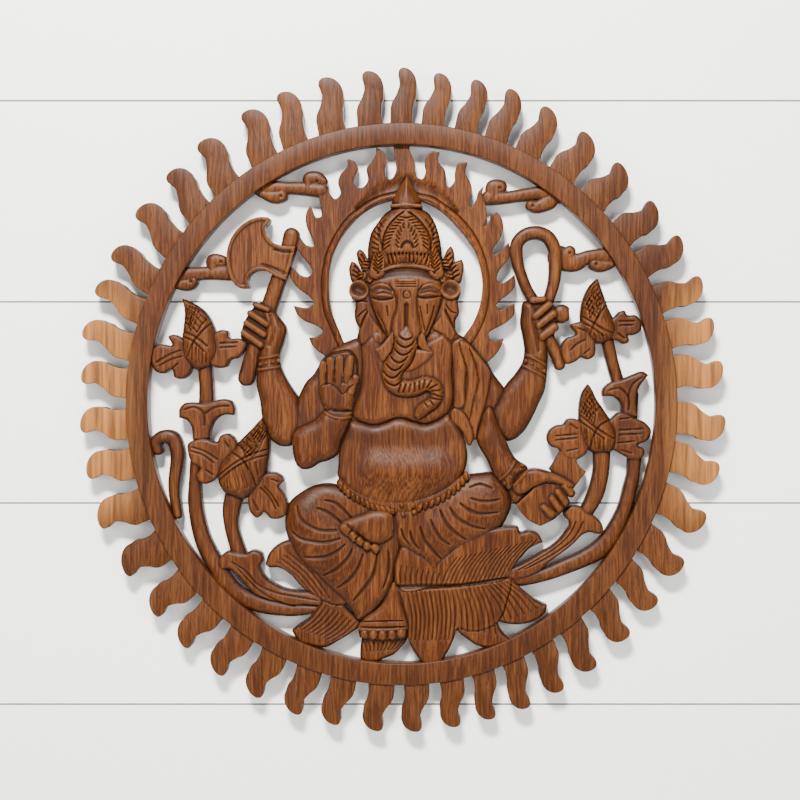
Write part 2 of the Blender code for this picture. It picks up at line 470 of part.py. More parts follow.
class Relief:
    """A height map of the board: how deep each point is inside the outline, and how far it stands out."""

    def __init__(self, half_width, half_height, step):
        self.step = step
        self.across = np.arange(-half_width, half_width + step, step)
        self.up = np.arange(-half_height, half_height + step, step)
        self.inside = np.full((len(self.up), len(self.across)), -1.0)
        self.height = np.zeros_like(self.inside)

    def window(self, low, high, margin):
        columns = np.searchsorted(self.across, (low[0] - margin, high[0] + margin))
        rows = np.searchsorted(self.up, (low[1] - margin, high[1] + margin))
        part = (slice(*rows), slice(*columns))
        x, z = np.meshgrid(self.across[part[1]], self.up[part[0]])
        return part, x, z

    def lay(self, part, inside, height, over=False):
        """Add one form. Where forms overlap the higher one shows, or the new one if it lies over."""
        old_inside = self.inside[part]
        old_height = self.height[part]
        new = (inside > 0) & (old_inside <= 0)
        both = (inside > 0) & (old_inside > 0)
        near = (inside <= 0) & (inside > old_inside)
        merged = np.where(new | near, height, old_height)
        shown = height if over else np.maximum(height, old_height)
        self.height[part] = np.where(both, shown, merged)
        self.inside[part] = np.maximum(inside, old_inside)

    def to_line(self, line, margin):
        """How far each point near a line with a changing half width is inside it, and that half width."""
        reach = line[:, 2].max() + margin
        part, x, z = self.window(line[:, :2].min(0), line[:, :2].max(0), reach)
        best = np.full(x.shape, -1.0)
        width = np.full(x.shape, line[0, 2])
        for start, end in zip(line[:-1], line[1:]):
            run = end - start
            square = run[0]**2 + run[1]**2 + 1e-12
            t = np.clip(((x - start[0]) * run[0] + (z - start[1]) * run[1]) / square, 0, 1)
            half = start[2] + run[2] * t
            inside = half - np.hypot(x - start[0] - run[0] * t, z - start[1] - run[1] * t)
            closer = inside > best
            best = np.where(closer, inside, best)
            width = np.where(closer, half, width)
        return part, best, width

    def limb(self, rows, top, drop, over=False):
        """A rounded form along a line: it stands at top on its line and falls by drop at its edge."""
        part, inside, width = self.to_line(smooth(rows), 3 * self.step)
        rise = np.clip(inside / width, 0, 1)
        self.lay(part, inside, top - drop * (1 - np.sqrt(rise * (2 - rise))), over)

    def knob(self, x, z, size, top, drop):
        """A small round form."""
        self.limb([(x, z, size), (x, z - self.step / 2, size)], top, drop)

    def patch(self, points, top, edge, drop, over=False, rim=None):
        """A form with its own outline: flat at top, rounded over along its edge, sunk inside a rim."""
        line = smooth(points, closed=True)
        part, x, z = self.window(line.min(0), line.max(0), 3 * self.step)
        gap = np.full(x.shape, 1.0)
        odd = np.zeros(x.shape, bool)
        for start, end in zip(line, np.roll(line, -1, 0)):
            run = end - start
            square = run @ run + 1e-12
            t = np.clip(((x - start[0]) * run[0] + (z - start[1]) * run[1]) / square, 0, 1)
            gap = np.minimum(gap, np.hypot(x - start[0] - run[0] * t, z - start[1] - run[1] * t))
            if run[1] != 0:
                crosses = (start[1] > z) != (end[1] > z)
                odd ^= crosses & (x < start[0] + (z - start[1]) * run[0] / run[1])
        inside = np.where(odd, gap, -gap)
        rise = np.clip(inside / edge, 0, 1)
        sunk = 0 if rim is None else STEP * (inside > rim)
        self.lay(part, inside, top - drop * (1 - np.sqrt(rise * (2 - rise))) - sunk, over)

    def swell(self, rows, rise):
        """Raise what is there already in a soft mound along a line."""
        part, inside, width = self.to_line(smooth(rows), 0)
        share = np.clip(inside / width, 0, 1)
        self.height[part] += rise * share**2 * (3 - 2 * share) * (self.inside[part] > 0)

    def groove(self, rows, depth):
        """Cut a groove of the line's width into what is there."""
        part, inside, width = self.to_line(smooth(rows), 0)
        share = np.clip(inside / width, 0, 1)
        self.height[part] -= depth * share**2 * (3 - 2 * share) * (self.inside[part] > 0)

    def oval(self, outer, inner, top):
        """A flat band between two ovals, each given by its half width and half height."""
        x, z = np.meshgrid(self.across, self.up)
        size = np.hypot(x, z) + 1e-9
        far = size / np.hypot(x / outer[0], z / outer[1]).clip(1e-6)
        near = size / np.hypot(x / inner[0], z / inner[1]).clip(1e-6)
        whole = (slice(None), slice(None))
        inside = np.minimum(far - size, size - near)
        self.lay(whole, inside, np.full(x.shape, top))


def drawn(rows):
    """Rows drawn in thousandths of the opening, as real sizes."""
    factors = (OPENING_WIDTH / 1000, OPENING_HEIGHT / 1000, OPENING_WIDTH / 1000)
    return [tuple(value * factor for value, factor in zip(row, factors)) for row in rows]


def ray_outline(index):
    """One flame outside the ring. It curls over anticlockwise, and fills its share of the way round."""
    before, (tip, share), after = RAYS[index - 1], RAYS[index], RAYS[(index + 1) % len(RAYS)]
    spread = math.radians((after[0] - before[0]) % 360 / 2) * RAY_FULLNESS
    lean = math.radians(RAY_LEAN - RAY_LEAN_SWAY * math.sin(math.radians(2 * tip)))
    sides = ([], [])
    for along, sway, width in RAY_SHAPE:
        middle = math.radians(tip) + lean * (1 - along) + sway * spread
        reach = RING_WIDTH + along * share * RAY_LENGTH
        for side, turn in zip(sides, (middle - width * spread / 2, middle + width * spread / 2)):
            side.append(((OPENING_WIDTH / 2 + reach) * math.cos(turn),
            (OPENING_HEIGHT / 2 + reach) * math.sin(turn)))
    return sides[0] + sides[1][::-1]


def carve_frame(relief):
    """The flames outside the ring, and the ring in front of them."""
    for index in range(len(RAYS)):
        relief.patch(ray_outline(index), RAY_DEPTH, EASED, EASED)
    inner = (OPENING_WIDTH / 2, OPENING_HEIGHT / 2)
    outer = (inner[0] + RING_WIDTH, inner[1] + RING_WIDTH)
    relief.oval(outer, inner, RING_DEPTH)


def halo_arc(radius_share, half_width):
    """A line around the halo, from its lower left end over the top to its lower right end."""
    rows = []
    for turn in np.linspace(HALO_ENDS[1], HALO_ENDS[0], HALO_POINTS):
        angle = math.radians(turn)
        rows.append((
            HALO_CENTRE[0] + HALO_RADII[0] * radius_share * math.cos(angle),
            HALO_CENTRE[1] + HALO_RADII[1] * radius_share * math.sin(angle),
            half_width,
        ))
    return drawn(rows)


def carve_halo(relief):
    band = 1 + HALO_BAND / 2 / HALO_RADII[0]
    relief.limb(halo_arc(band, HALO_BAND / 2), HALO_DEPTH, EASED)
    for rows in HALO_FLAMES:
        relief.limb(drawn(rows), HALO_DEPTH, EASED)
    relief.groove(halo_arc(HALO_LINE, HALO_LINE_WIDTH), LINE_DEPTH)


def carve_plants(relief):
    for rows in SCROLLS:
        relief.limb(drawn(rows), HALO_DEPTH, THIN_FALL)
    for rows in STEMS:
        relief.limb(drawn(rows), STEM_DEPTH, THIN_FALL)
    for rows in CUPS:
        relief.limb(drawn(rows), STEM_DEPTH + STEP, THIN_FALL)
    for rows in LEAVES:
        relief.limb(drawn(rows), LEAF_DEPTH, THIN_FALL)
        relief.groove([(x, z, LEAF_VEIN) for x, z, _ in drawn(rows)], LINE_DEPTH)
    for rows in BUDS:
        relief.limb(drawn(rows), BUD_DEPTH, THICK_FALL, over=True)


def carve_weapons(relief):
    relief.limb(drawn(AXE_HANDLE), WEAPON_DEPTH, THIN_FALL)
    relief.patch(drawn(AXE_BLADE), WEAPON_DEPTH, EASED, EASED, over=True, rim=AXE_RIM)
    relief.limb(drawn(NOOSE), WEAPON_DEPTH, THIN_FALL)
    relief.limb(drawn(NOOSE_HANDLE), WEAPON_DEPTH, THIN_FALL)
    relief.limb(drawn(NOOSE_KNOB), WEAPON_DEPTH, THIN_FALL)


def carve_seat(relief):
    for rows in PETALS:
        relief.patch(drawn(rows), SEAT_DEPTH, THIN_FALL, THIN_FALL)
    for first, last, first_end, last_end, count in FLUTES:
        start = np.array((first, first_end))
        end = np.array((last, last_end))
        for share in np.linspace(0, 1, count):
            ends = start * (1 - share) + end * share
            relief.groove(drawn([(x, z, FLUTE_WIDTH) for x, z in ends]), LINE_DEPTH)
    relief.groove(drawn(SEAT_RIB), LINE_DEPTH)


def carve_body(relief):
    for rows in (REAR_LEFT_ARM, REAR_RIGHT_ARM):
        relief.limb(drawn(rows), REAR_ARM_DEPTH, THICK_FALL)
    for rows in BANGLES:
        relief.limb(drawn(rows), REAR_ARM_DEPTH + STEP, THIN_FALL)
    for fist, fingers in ((LEFT_FIST, LEFT_FINGERS), (RIGHT_FIST, RIGHT_FINGERS)):
        relief.patch(drawn(fist), WEAPON_DEPTH, THIN_FALL, THIN_FALL)
        for rows in fingers:
            relief.limb(drawn(rows), REAR_ARM_DEPTH + 2 * STEP, THIN_FALL)
    relief.patch(drawn(CHEST), CHEST_DEPTH - 2 * STEP, THIN_FALL, THIN_FALL)
    relief.patch(drawn(SLEEVE), CHEST_DEPTH, THIN_FALL, THIN_FALL)
    for rows in (SHOULDER_LEFT, SHOULDER_RIGHT):
        relief.limb(drawn(rows), CHEST_DEPTH + STEP, THICK_FALL)
    relief.patch(drawn(BREAST), CHEST_DEPTH + STEP, THIN_FALL, THIN_FALL, over=True)
    for rows in SLEEVE_FOLDS:
        relief.groove(drawn(rows), LINE_DEPTH)
    relief.patch(drawn(BELLY), FRONT_DEPTH - BELLY_RISE, THICK_FALL, THICK_FALL)
    relief.swell(drawn(BELLY_SWELL), BELLY_RISE)
    relief.groove(drawn(BELLY_HOLLOW), LINE_DEPTH)


def carve_legs(relief):
    for rows in (LEG_LEFT, LEG_RIGHT):
        relief.patch(drawn(rows), FRONT_DEPTH - KNEE_RISE, LEG_EDGE, THICK_FALL)
    for rows in KNEES:
        relief.swell(drawn(rows), KNEE_RISE)
    for rows in FOLDS_LEFT + FOLDS_RIGHT:
        relief.groove(drawn(rows), LINE_DEPTH)
    relief.limb(drawn(BELT), FRONT_DEPTH - 3 * STEP, THIN_FALL)
    relief.patch(drawn(FRONT_SHIN), FRONT_DEPTH - KNEE_RISE, THIN_FALL, THIN_FALL)
    relief.patch(drawn(RESTING_FOOT), FRONT_DEPTH - 2 * STEP, THIN_FALL, THIN_FALL, over=True)
    for x, z, size in drawn(FRONT_TOES + RESTING_TOES):
        relief.knob(x, z, size, FRONT_DEPTH - STEP, THIN_FALL)


def carve_front_arms(relief):
    for rows in (FOREARM_LEFT, FOREARM_RIGHT):
        relief.limb(drawn(rows), FRONT_DEPTH - 3 * STEP, THICK_FALL)
    for rows in CUFFS:
        relief.limb(drawn(rows), FRONT_DEPTH - STEP, THIN_FALL)
    relief.patch(drawn(PALM), FRONT_DEPTH - 3 * STEP, THIN_FALL, THIN_FALL)
    for rows in PALM_FINGERS:
        relief.limb(drawn(rows), FRONT_DEPTH - 2 * STEP, THIN_FALL)
    relief.limb(drawn(RIGHT_HAND), PLATE_DEPTH - STEP, THIN_FALL)
    relief.patch(drawn(SWEETS_PLATE), PLATE_DEPTH, EASED, EASED, over=True)
    for rows in KNUCKLES + (THUMB,):
        relief.limb(drawn(rows), PLATE_DEPTH + 3 * STEP, THIN_FALL)


def carve_head(relief):
    for rows in (EAR_LEFT, EAR_RIGHT):
        relief.patch(drawn(rows), CROWN_DEPTH - 2 * STEP, THIN_FALL, THIN_FALL)
    for rows in CROWN_LEAVES:
        relief.limb(drawn(rows), CROWN_DEPTH - 3 * STEP, THIN_FALL)
    relief.patch(drawn(CROWN), CROWN_DEPTH, THICK_FALL, THICK_FALL)
    relief.patch(drawn(HEAD), HEAD_DEPTH, HEAD_EDGE, THICK_FALL)
    relief.limb(drawn(HEADBAND), HEAD_DEPTH - STEP, THIN_FALL)
    for x, z, size in drawn(EAR_CUPS):
        relief.knob(x, z, size, HEAD_DEPTH - 2 * STEP, THIN_FALL)
        hollow = EAR_HOLLOW * size
        relief.groove([(x, z, hollow), (x, z - STEP, hollow)], THIN_FALL)
    for rows in CROWN_LINES + EYE_HOLLOWS + CHEEK_LINES:
        relief.groove(drawn(rows), LINE_DEPTH)
    for rows in EYE_LIDS:
        relief.swell(drawn(rows), LINE_DEPTH)
    for rows in EYES:
        relief.groove(drawn(rows), LINE_DEPTH)
    for x, z, size in drawn(NECK_PADS):
        relief.knob(x, z, size, HEAD_DEPTH - STEP, THIN_FALL)
    for rows in TUSKS:
        relief.limb(drawn(rows), HEAD_DEPTH + STEP, THIN_FALL)
    relief.limb(drawn(TRUNK), FRONT_DEPTH, THICK_FALL)
    for rows in TRUNK_RINGS + (TRUNK_SLOT,):
        relief.groove(drawn(rows), LINE_DEPTH)


def carve():
    longest = RAY_LENGTH * max(share for _, share in RAYS)
    half_width = OPENING_WIDTH / 2 + RING_WIDTH + longest + MARGIN
    half_height = OPENING_HEIGHT / 2 + RING_WIDTH + longest + MARGIN
    relief = Relief(half_width, half_height, CUT_STEP)
    carve_halo(relief)
    carve_plants(relief)
    carve_weapons(relief)
    carve_seat(relief)
    carve_frame(relief)
    carve_body(relief)
    carve_legs(relief)
    carve_front_arms(relief)
    carve_head(relief)
    return relief


# A square's faces for each way its corners lie inside: 0 to 3 are its corners, 4 to 7 the crossings.
SQUARE_FACES = {
    1: ((0, 4, 7),), 2: ((1, 5, 4),), 3: ((0, 1, 5, 7),), 4: ((2, 6, 5),), 5: ((0, 4, 7), (2, 6, 5)),
    6: ((1, 2, 6, 4),), 7: ((0, 1, 2, 6, 7),), 8: ((3, 7, 6),), 9: ((0, 4, 6, 3),),
    10: ((1, 5, 4), (3, 7, 6)), 11: ((0, 1, 5, 6, 3),), 12: ((2, 3, 7, 5),), 13: ((0, 4, 5, 2, 3),),
    14: ((1, 2, 3, 7, 4),), 15: ((0, 1, 2, 3),),
}


def front_faces(relief):
    """The front of the board as points (across, up, height) and triangles, cut off at the outline."""
    inside = relief.inside
    rows, columns = inside.shape
    x, z = np.meshgrid(relief.across, relief.up)
    points = [np.stack((x, z, relief.height), -1).reshape(-1, 3)]
    ids = np.arange(rows * columns).reshape(rows, columns)

    def crossings(a, b):
        start, end = ids[a].ravel(), ids[b].ravel()
        first, last = inside.ravel()[start], inside.ravel()[end]
        gap = first - last
        share = np.clip(first / np.where(gap == 0, 1, gap), NEAREST_CORNER, 1 - NEAREST_CORNER)[:, None]
        return points[0][start] * (1 - share) + points[0][end] * share

    across_first = rows * columns
    points.append(crossings((slice(None), slice(None, -1)), (slice(None), slice(1, None))))
    up_first = across_first + len(points[1])
    points.append(crossings((slice(None, -1), slice(None)), (slice(1, None), slice(None))))
    flat = np.arange(rows * (columns - 1)).reshape(rows, -1) + across_first
    steep = np.arange((rows - 1) * columns).reshape(-1, columns) + up_first
    corner = (ids[:-1, :-1], ids[:-1, 1:], ids[1:, 1:], ids[1:, :-1],
              flat[:-1], steep[:, 1:], flat[1:], steep[:, :-1])
    solid = inside > 0
    kind = solid[:-1, :-1] + 2 * solid[:-1, 1:] + 4 * solid[1:, 1:] + 8 * solid[1:, :-1]
    triangles = []
    for number, faces in SQUARE_FACES.items():
        here = kind == number
        for face in faces:
            loop = [corner[k][here] for k in face]
            for second, third in zip(loop[1:-1], loop[2:]):
                triangles.append(np.stack((loop[0], second, third), -1))
    triangles = np.vstack(triangles)
    used, where = np.unique(triangles, return_inverse=True)
    return np.vstack(points)[used], where.reshape(-1, 3)


def simplify(points, triangles, count):
    """The same surface with about count triangles. Heights weigh more than places while it is done."""
    weigh = np.array((1, 1, RELIEF_WEIGHT))
    mesh = bpy.data.meshes.new("front")
    mesh.from_pydata((points * weigh).tolist(), [], triangles.tolist())
    front = bpy.data.objects.new("front", mesh)
    bpy.context.collection.objects.link(front)
    fewer = front.modifiers.new("Fewer", "DECIMATE")
    fewer.ratio = min(1.0, count / len(triangles))
    shown = front.evaluated_get(bpy.context.evaluated_depsgraph_get()).to_mesh()
    places = np.array([tuple(vertex.co) for vertex in shown.vertices]) / weigh
    faces = []
    for polygon in shown.polygons:
        corners = list(polygon.vertices)
        faces += [(corners[0], b, c) for b, c in zip(corners[1:-1], corners[2:])]
    bpy.data.objects.remove(front)
    bpy.data.meshes.remove(mesh)
    return places, np.array(faces)


def open_edges(triangles):
    """The edges that only one triangle has, as pairs of point numbers with the wood on their left."""
    edges = np.vstack((triangles[:, (0, 1)], triangles[:, (1, 2)], triangles[:, (2, 0)])).tolist()
    seen = {tuple(edge) for edge in edges}
    return [(a, b) for a, b in edges if (b, a) not in seen]


def rims(triangles):
    """The outline and the openings' rims, each as a loop of point numbers with the wood on its left."""
    follows = dict(open_edges(triangles))
    loops = []
    while follows:
        start, point = follows.popitem()
        loop = [start]
        while point != start:
            loop.append(point)
            point = follows.pop(point)
        loops.append(loop)
    return loops


def tight_points(loops, points):
    """The rim points beside another stretch of rim, across a thin neck of wood or a thin gap."""
    rim = np.array([point for loop in loops for point in loop])
    owner = np.repeat(np.arange(len(loops)), [len(loop) for loop in loops])
    order = np.concatenate([np.arange(len(loop)) for loop in loops])
    length = np.repeat([len(loop) for loop in loops], [len(loop) for loop in loops])
    places = points[rim][:, :2]
    tight = set()
    for number, place in enumerate(places):
        apart = np.abs(order - order[number])
        apart = np.minimum(apart, length[number] - apart)
        other = (owner != owner[number]) | (apart > RIM_NEIGHBOURS)
        if (other & (np.hypot(*(places - place).T) < TIGHT_GAP)).any():
            tight.add(int(rim[number]))
    return tight


def straighten(line, fixed, slack):
    """Which points of an open line to keep, so that the others lie within the slack of the line kept."""
    keep = fixed.copy()
    keep[[0, -1]] = True
    marks = np.flatnonzero(keep).tolist()
    spans = list(zip(marks[:-1], marks[1:]))
    while spans:
        first, last = spans.pop()
        if last - first < 2:
            continue
        run = line[last] - line[first]
        between = line[first + 1:last] - line[first]
        share = np.clip(between @ run / (run @ run + 1e-12), 0, 1)[:, None]
        away = np.linalg.norm(between - share * run, axis=1)
        worst = first + 1 + int(away.argmax())
        if away.max() > slack:
            keep[worst] = True
            spans += [(first, worst), (worst, last)]
    return keep


def straighten_loop(loop, points, tight, slack):
    """A rim with only the points that its shape needs, and all of its tight ones."""
    half = len(loop) // 2
    line = points[loop + loop[:1]][:, :2]
    fixed = np.array([point in tight for point in loop + loop[:1]])
    first = straighten(line[:half + 1], fixed[:half + 1], slack)
    last = straighten(line[half:], fixed[half:], slack)
    keep = np.concatenate((first[:-1], last[:-1]))
    return [point for point, kept in zip(loop, keep) if kept]


def straight_rims(loops, points):
    """The rims with only the points that their shape needs: places, numbered loops and flat triangles."""
    tight = tight_points(loops, points)
    slack = RIM_SLACK
    while True:
        kept = [straighten_loop(loop, points, tight, slack) for loop in loops]
        kept = [loop for loop in kept if len(loop) > 3]
        edge = points[[point for loop in kept for point in loop]]
        numbered = []
        first = 0
        for loop in kept:
            numbered.append(list(range(first, first + len(loop))))
            first += len(loop)
        flat = triangulate(edge[:, :2], numbered)
        if flat:
            return edge, numbered, flat
        slack /= 2


def triangulate(places, loops):
    """Triangles between the rims, over the given points, or none where the rims cross each other."""
    rim = {(a, b) for loop in loops for a, b in zip(loop, loop[1:] + loop[:1])}
    flat = [Vector(place) for place in places.tolist()]
    found = delaunay_2d_cdt(flat, sorted(rim), [], 0, 1e-9)
    if len(found[0]) != len(places):
        return []
    faces = [tuple(face) for face in found[2]]
    beside = {}
    for number, face in enumerate(faces):
        for edge in zip(face, face[1:] + face[:1]):
            beside[edge] = number
    waiting = [beside[edge] for edge in rim]
    kept = set(waiting)
    while waiting:
        face = faces[waiting.pop()]
        for a, b in zip(face, face[1:] + face[:1]):
            other = beside.get((b, a))
            if (a, b) not in rim and other not in kept:
                kept.add(other)
                waiting.append(other)
    return [faces[number] for number in sorted(kept)]


def build_board(name):
    relief = carve()
    points, triangles = front_faces(relief)
    edge, numbered, back_triangles = straight_rims(rims(triangles), points)
    crest = inner_points(relief, *simplify(points, triangles, FACE_TRIANGLES))
    front = np.vstack((edge, crest))
    front_triangles = triangulate(front[:, :2], numbered)
    vertices = [(x, -height, z) for x, z, height in front.tolist()]
    vertices += [(x, 0.0, z) for x, z, _ in edge.tolist()]
    behind = len(front)
    faces = list(front_triangles)
    faces += [(behind + a, behind + c, behind + b) for a, b, c in back_triangles]
    for loop in numbered:
        for a, b in zip(loop, loop[1:] + loop[:1]):
            faces += [(b, a, behind + a), (b, behind + a, behind + b)]
    mesh = bpy.data.meshes.new(name)
    mesh.from_pydata(vertices, [], faces)
    board = bpy.data.objects.new(name, mesh)
    bpy.context.collection.objects.link(board)
    return board


def inner_points(relief, points, triangles):
    """The points of a surface that lie well inside the outline."""
    on_rim = {point for edge in open_edges(triangles) for point in edge}
    column = np.rint((points[:, 0] - relief.across[0]) / relief.step).astype(int)
    row = np.rint((points[:, 1] - relief.up[0]) / relief.step).astype(int)
    deep = relief.inside[row, column] > RIM_CLEARANCE
    return points[[number for number in range(len(points)) if deep[number] and number not in on_rim]]


def wood():
    material = bpy.data.materials.new("oiled_hardwood")
    material.use_nodes = True
    shader = material.node_tree.nodes["Principled BSDF"]
    shader.inputs["Base Color"].default_value = (0.24, 0.10, 0.04, 1)
    shader.inputs["Roughness"].default_value = 0.45
    return material


def main():
    for item in list(bpy.data.objects):
        bpy.data.objects.remove(item)
    board = build_board("carved_panel")
    board.data.materials.append(wood())


main()
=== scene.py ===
"""The visual model of the carved wall panel, with the wall, light and camera of its photo."""

import math

import bpy
import numpy as np
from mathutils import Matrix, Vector
from mathutils.geometry import delaunay_2d_cdt


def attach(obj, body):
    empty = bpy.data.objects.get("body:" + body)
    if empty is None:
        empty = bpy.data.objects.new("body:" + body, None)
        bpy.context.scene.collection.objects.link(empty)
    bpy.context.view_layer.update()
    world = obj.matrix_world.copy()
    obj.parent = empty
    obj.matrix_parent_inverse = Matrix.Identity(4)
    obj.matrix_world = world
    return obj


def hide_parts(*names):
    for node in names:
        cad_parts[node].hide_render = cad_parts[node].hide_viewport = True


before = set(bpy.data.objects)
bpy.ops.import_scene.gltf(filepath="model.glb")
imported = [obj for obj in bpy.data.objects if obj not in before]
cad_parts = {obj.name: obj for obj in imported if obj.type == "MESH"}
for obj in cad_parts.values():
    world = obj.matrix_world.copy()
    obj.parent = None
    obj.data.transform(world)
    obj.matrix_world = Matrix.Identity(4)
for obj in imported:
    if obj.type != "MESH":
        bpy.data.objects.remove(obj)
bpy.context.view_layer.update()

MM = 0.001

# How finely the pieces are carved, in metres.
GRID = 0.0007
HALF_SPAN = 0.252

# The ring and its rays, in metres.
OPENING = (0.2355, 0.2405)
RING_WIDTH = 0.0175
RING_DEPTH = 0.020
RING_EASE = 0.0012
RAY_DEPTH = 0.0165
RAYS = (
    (6.2, 45.5), (14.2, 44.5), (21.9, 46), (30, 45.5), (37.7, 43), (46.7, 44.5), (55, 46.5),
    (63.2, 48.5), (70.2, 50.5), (76.5, 49.5), (83.2, 49.5), (89.5, 52.5), (95.8, 51), (103.5, 52),
    (111.3, 51), (118.3, 49.5), (127.7, 49), (135.5, 47.5), (144, 48), (152.7, 47.5), (159.5, 48.5),
    (167.3, 49), (175, 44), (183.7, 44.5), (192, 44.5), (201, 47), (210.6, 45), (219.6, 45),
    (227.3, 45.5), (235.2, 45.5), (242.9, 45.5), (250.6, 45.5), (257.7, 45), (265.4, 45), (272.4, 45),
    (279.5, 44.5), (286, 45), (292.5, 46.5), (299.2, 46.5), (306.2, 46), (314.3, 44.5), (322, 44.5),
    (330.1, 46), (339.1, 47), (348.2, 46.5), (356.5, 46.5),
)
RAY_SPACING = 0.041
RAY_SHAPE = (
    (-0.12, 0.0, 0.80), (0.05, 0.0, 0.74), (0.20, 0.015, 0.70), (0.30, 0.01, 0.70), (0.40, -0.02, 0.66),
    (0.50, -0.09, 0.61), (0.60, -0.12, 0.54), (0.70, -0.138, 0.50), (0.80, -0.105, 0.485),
    (0.90, -0.046, 0.42), (0.965, -0.005, 0.28), (0.995, 0.02, 0.10),
)

# The camera and the wall, in metres: how far the camera stands from the ring, beside it and above it.
CAMERA_DISTANCE = 1.55
CAMERA_SIDE = 0.045
CAMERA_UP = 0.030
PICTURE_MIDDLE = (-0.0014, 0.0037)
PICTURE_WIDTH = 0.736
SENSOR_WIDTH_MM = 36
WALL_GAP = 0.005
WALL_REACH = 2.6
FIRST_SEAM = -0.093
PLANK_HEIGHT = 0.188
SEAM = 0.0015
PLANKS_BELOW = -6
PLANKS_ABOVE = 14
FLOOR_DOWN = 1.2

# How far each form stands out from the wall, in metres.
HALO_TOP = 0.0125
SCROLL_TOP = 0.0135
PETAL_TOP = 0.0135
PETAL_STEP = 0.0006
STEM_TOP = 0.0140
CHEST_TOP = 0.0145
PLATE_BACK_TOP = 0.0150
AXE_HANDLE_TOP = 0.0155
CUP_TOP = 0.0155
LEAF_TOP = 0.0155
FIST_TOP = 0.0155
CROWN_LEAF_TOP = 0.0165
EAR_TOP = 0.0165
NOOSE_TOP = 0.0165
RIGHT_SHOULDER_TOP = 0.0165
LEFT_SHOULDER_TOP = 0.0175
AXE_BLADE_TOP = 0.0175
RIGHT_HAND_TOP = 0.0175
REAR_ARM_TOP = 0.0180
EAR_FLAP_TOP = 0.0180
SLEEVE_TOP = 0.0185
PLATE_FRONT_TOP = 0.0185
ROSETTE_TOP = 0.0190
NOSTRIL_TOP = 0.0190
LEG_TOP = 0.0195
WAIST_TOP = 0.0195
FRONT_FOOT_TOP = 0.0195
CROWN_TOP = 0.0195
BREAST_TOP = 0.0200
BELLY_TOP = 0.0200
EAR_CUP_TOP = 0.0200
COLLAR_TOP = 0.0200
FIST_FINGER_TOP = 0.0200
BUD_TOP = 0.0205
FRONT_TOE_TOP = 0.0205
CROWN_PANEL_TOP = 0.0210
PALM_TOP = 0.0215
NEAR_LEAF_TOP = 0.0215
FACE_TOP = 0.0215
LIP_TOP = 0.0217
PALM_FINGER_TOP = 0.0220
HEADBAND_TOP = 0.0220
FAR_TUSK_TOP = 0.0222
BRIDGE_TOP = 0.0225
RIGHT_ARM_TOP = 0.0225
LEFT_ARM_TOP = 0.0235
RESTING_FOOT_TOP = 0.0245
RESTING_TOE_TOP = 0.0250
TRUNK_TOP = 0.0255

# How wide a rounded edge is, and how far it falls.
EASED = 0.0010
FLAT_EDGE = (0.003, 0.003)
LOW_EDGE = (0.0035, 0.0025)
CARVED_EDGE = (0.004, 0.003)
ROUND_EDGE = (0.004, 0.004)
HAND_EDGE = (0.006, 0.005)
SHOULDER_EDGE = (0.010, 0.007)
ARM_EDGE = (0.012, 0.008)
BUD_EDGE = (0.013, 0.010)
LEG_EDGE = (0.014, 0.009)

# How deep the carved lines are, and the narrowest that the carving shows.
HAIR_LINE = 0.0010
THIN_LINE = 0.0012
DEEP_LINE = 0.0014
CUT_LINE = 0.0016
LEAF_CUT = 0.0018
BOLD_CUT = 0.0022
GOUGED = 0.0026
LID_RISE = 0.0022
NARROWEST = 0.75
FAN_BOW = 0.06
STEP_MM = 0.3
HALO_MIDDLE = (4, 109.5)
HALO_BORDER = 3.4

# Painted shade: how the wood is darkened in hollows this deep, on slopes this steep, and on its sawn back.
FINE_HOLLOW = 0.0007
BROAD_HOLLOW = 0.003
STEEPEST = 0.9
STEEP_SHARE = 0.6
BACK_DARK = 0.45
BACK_STEP = 0.00015

# Each finish: its dark, middle and light wood, and its share of pale sapwood at the sides.
FIGURE_WOOD = ((0.0075, 0.0013, 0.0003), (0.045, 0.0108, 0.0014), (0.15, 0.050, 0.010), 0)
RING_WOOD = ((0.0085, 0.0020, 0.0005), (0.044, 0.0120, 0.0021), (0.105, 0.037, 0.010), 0.60)
RAY_WOOD = ((0.0085, 0.0020, 0.0005), (0.049, 0.0140, 0.0026), (0.12, 0.043, 0.011), 1)
SAPWOOD = (0.33, 0.135, 0.034, 1)
# Painted shade colours: the first is mixed into hollows, the second down the sides towards the back and onto
# the back.
PAINTED_SHADE_WOOD = (0.008, 0.0016, 0.0006, 1)
BACK_SHADE_WOOD = (0.020, 0.006, 0.0026, 1)
GROWTH_RING = 0.0042

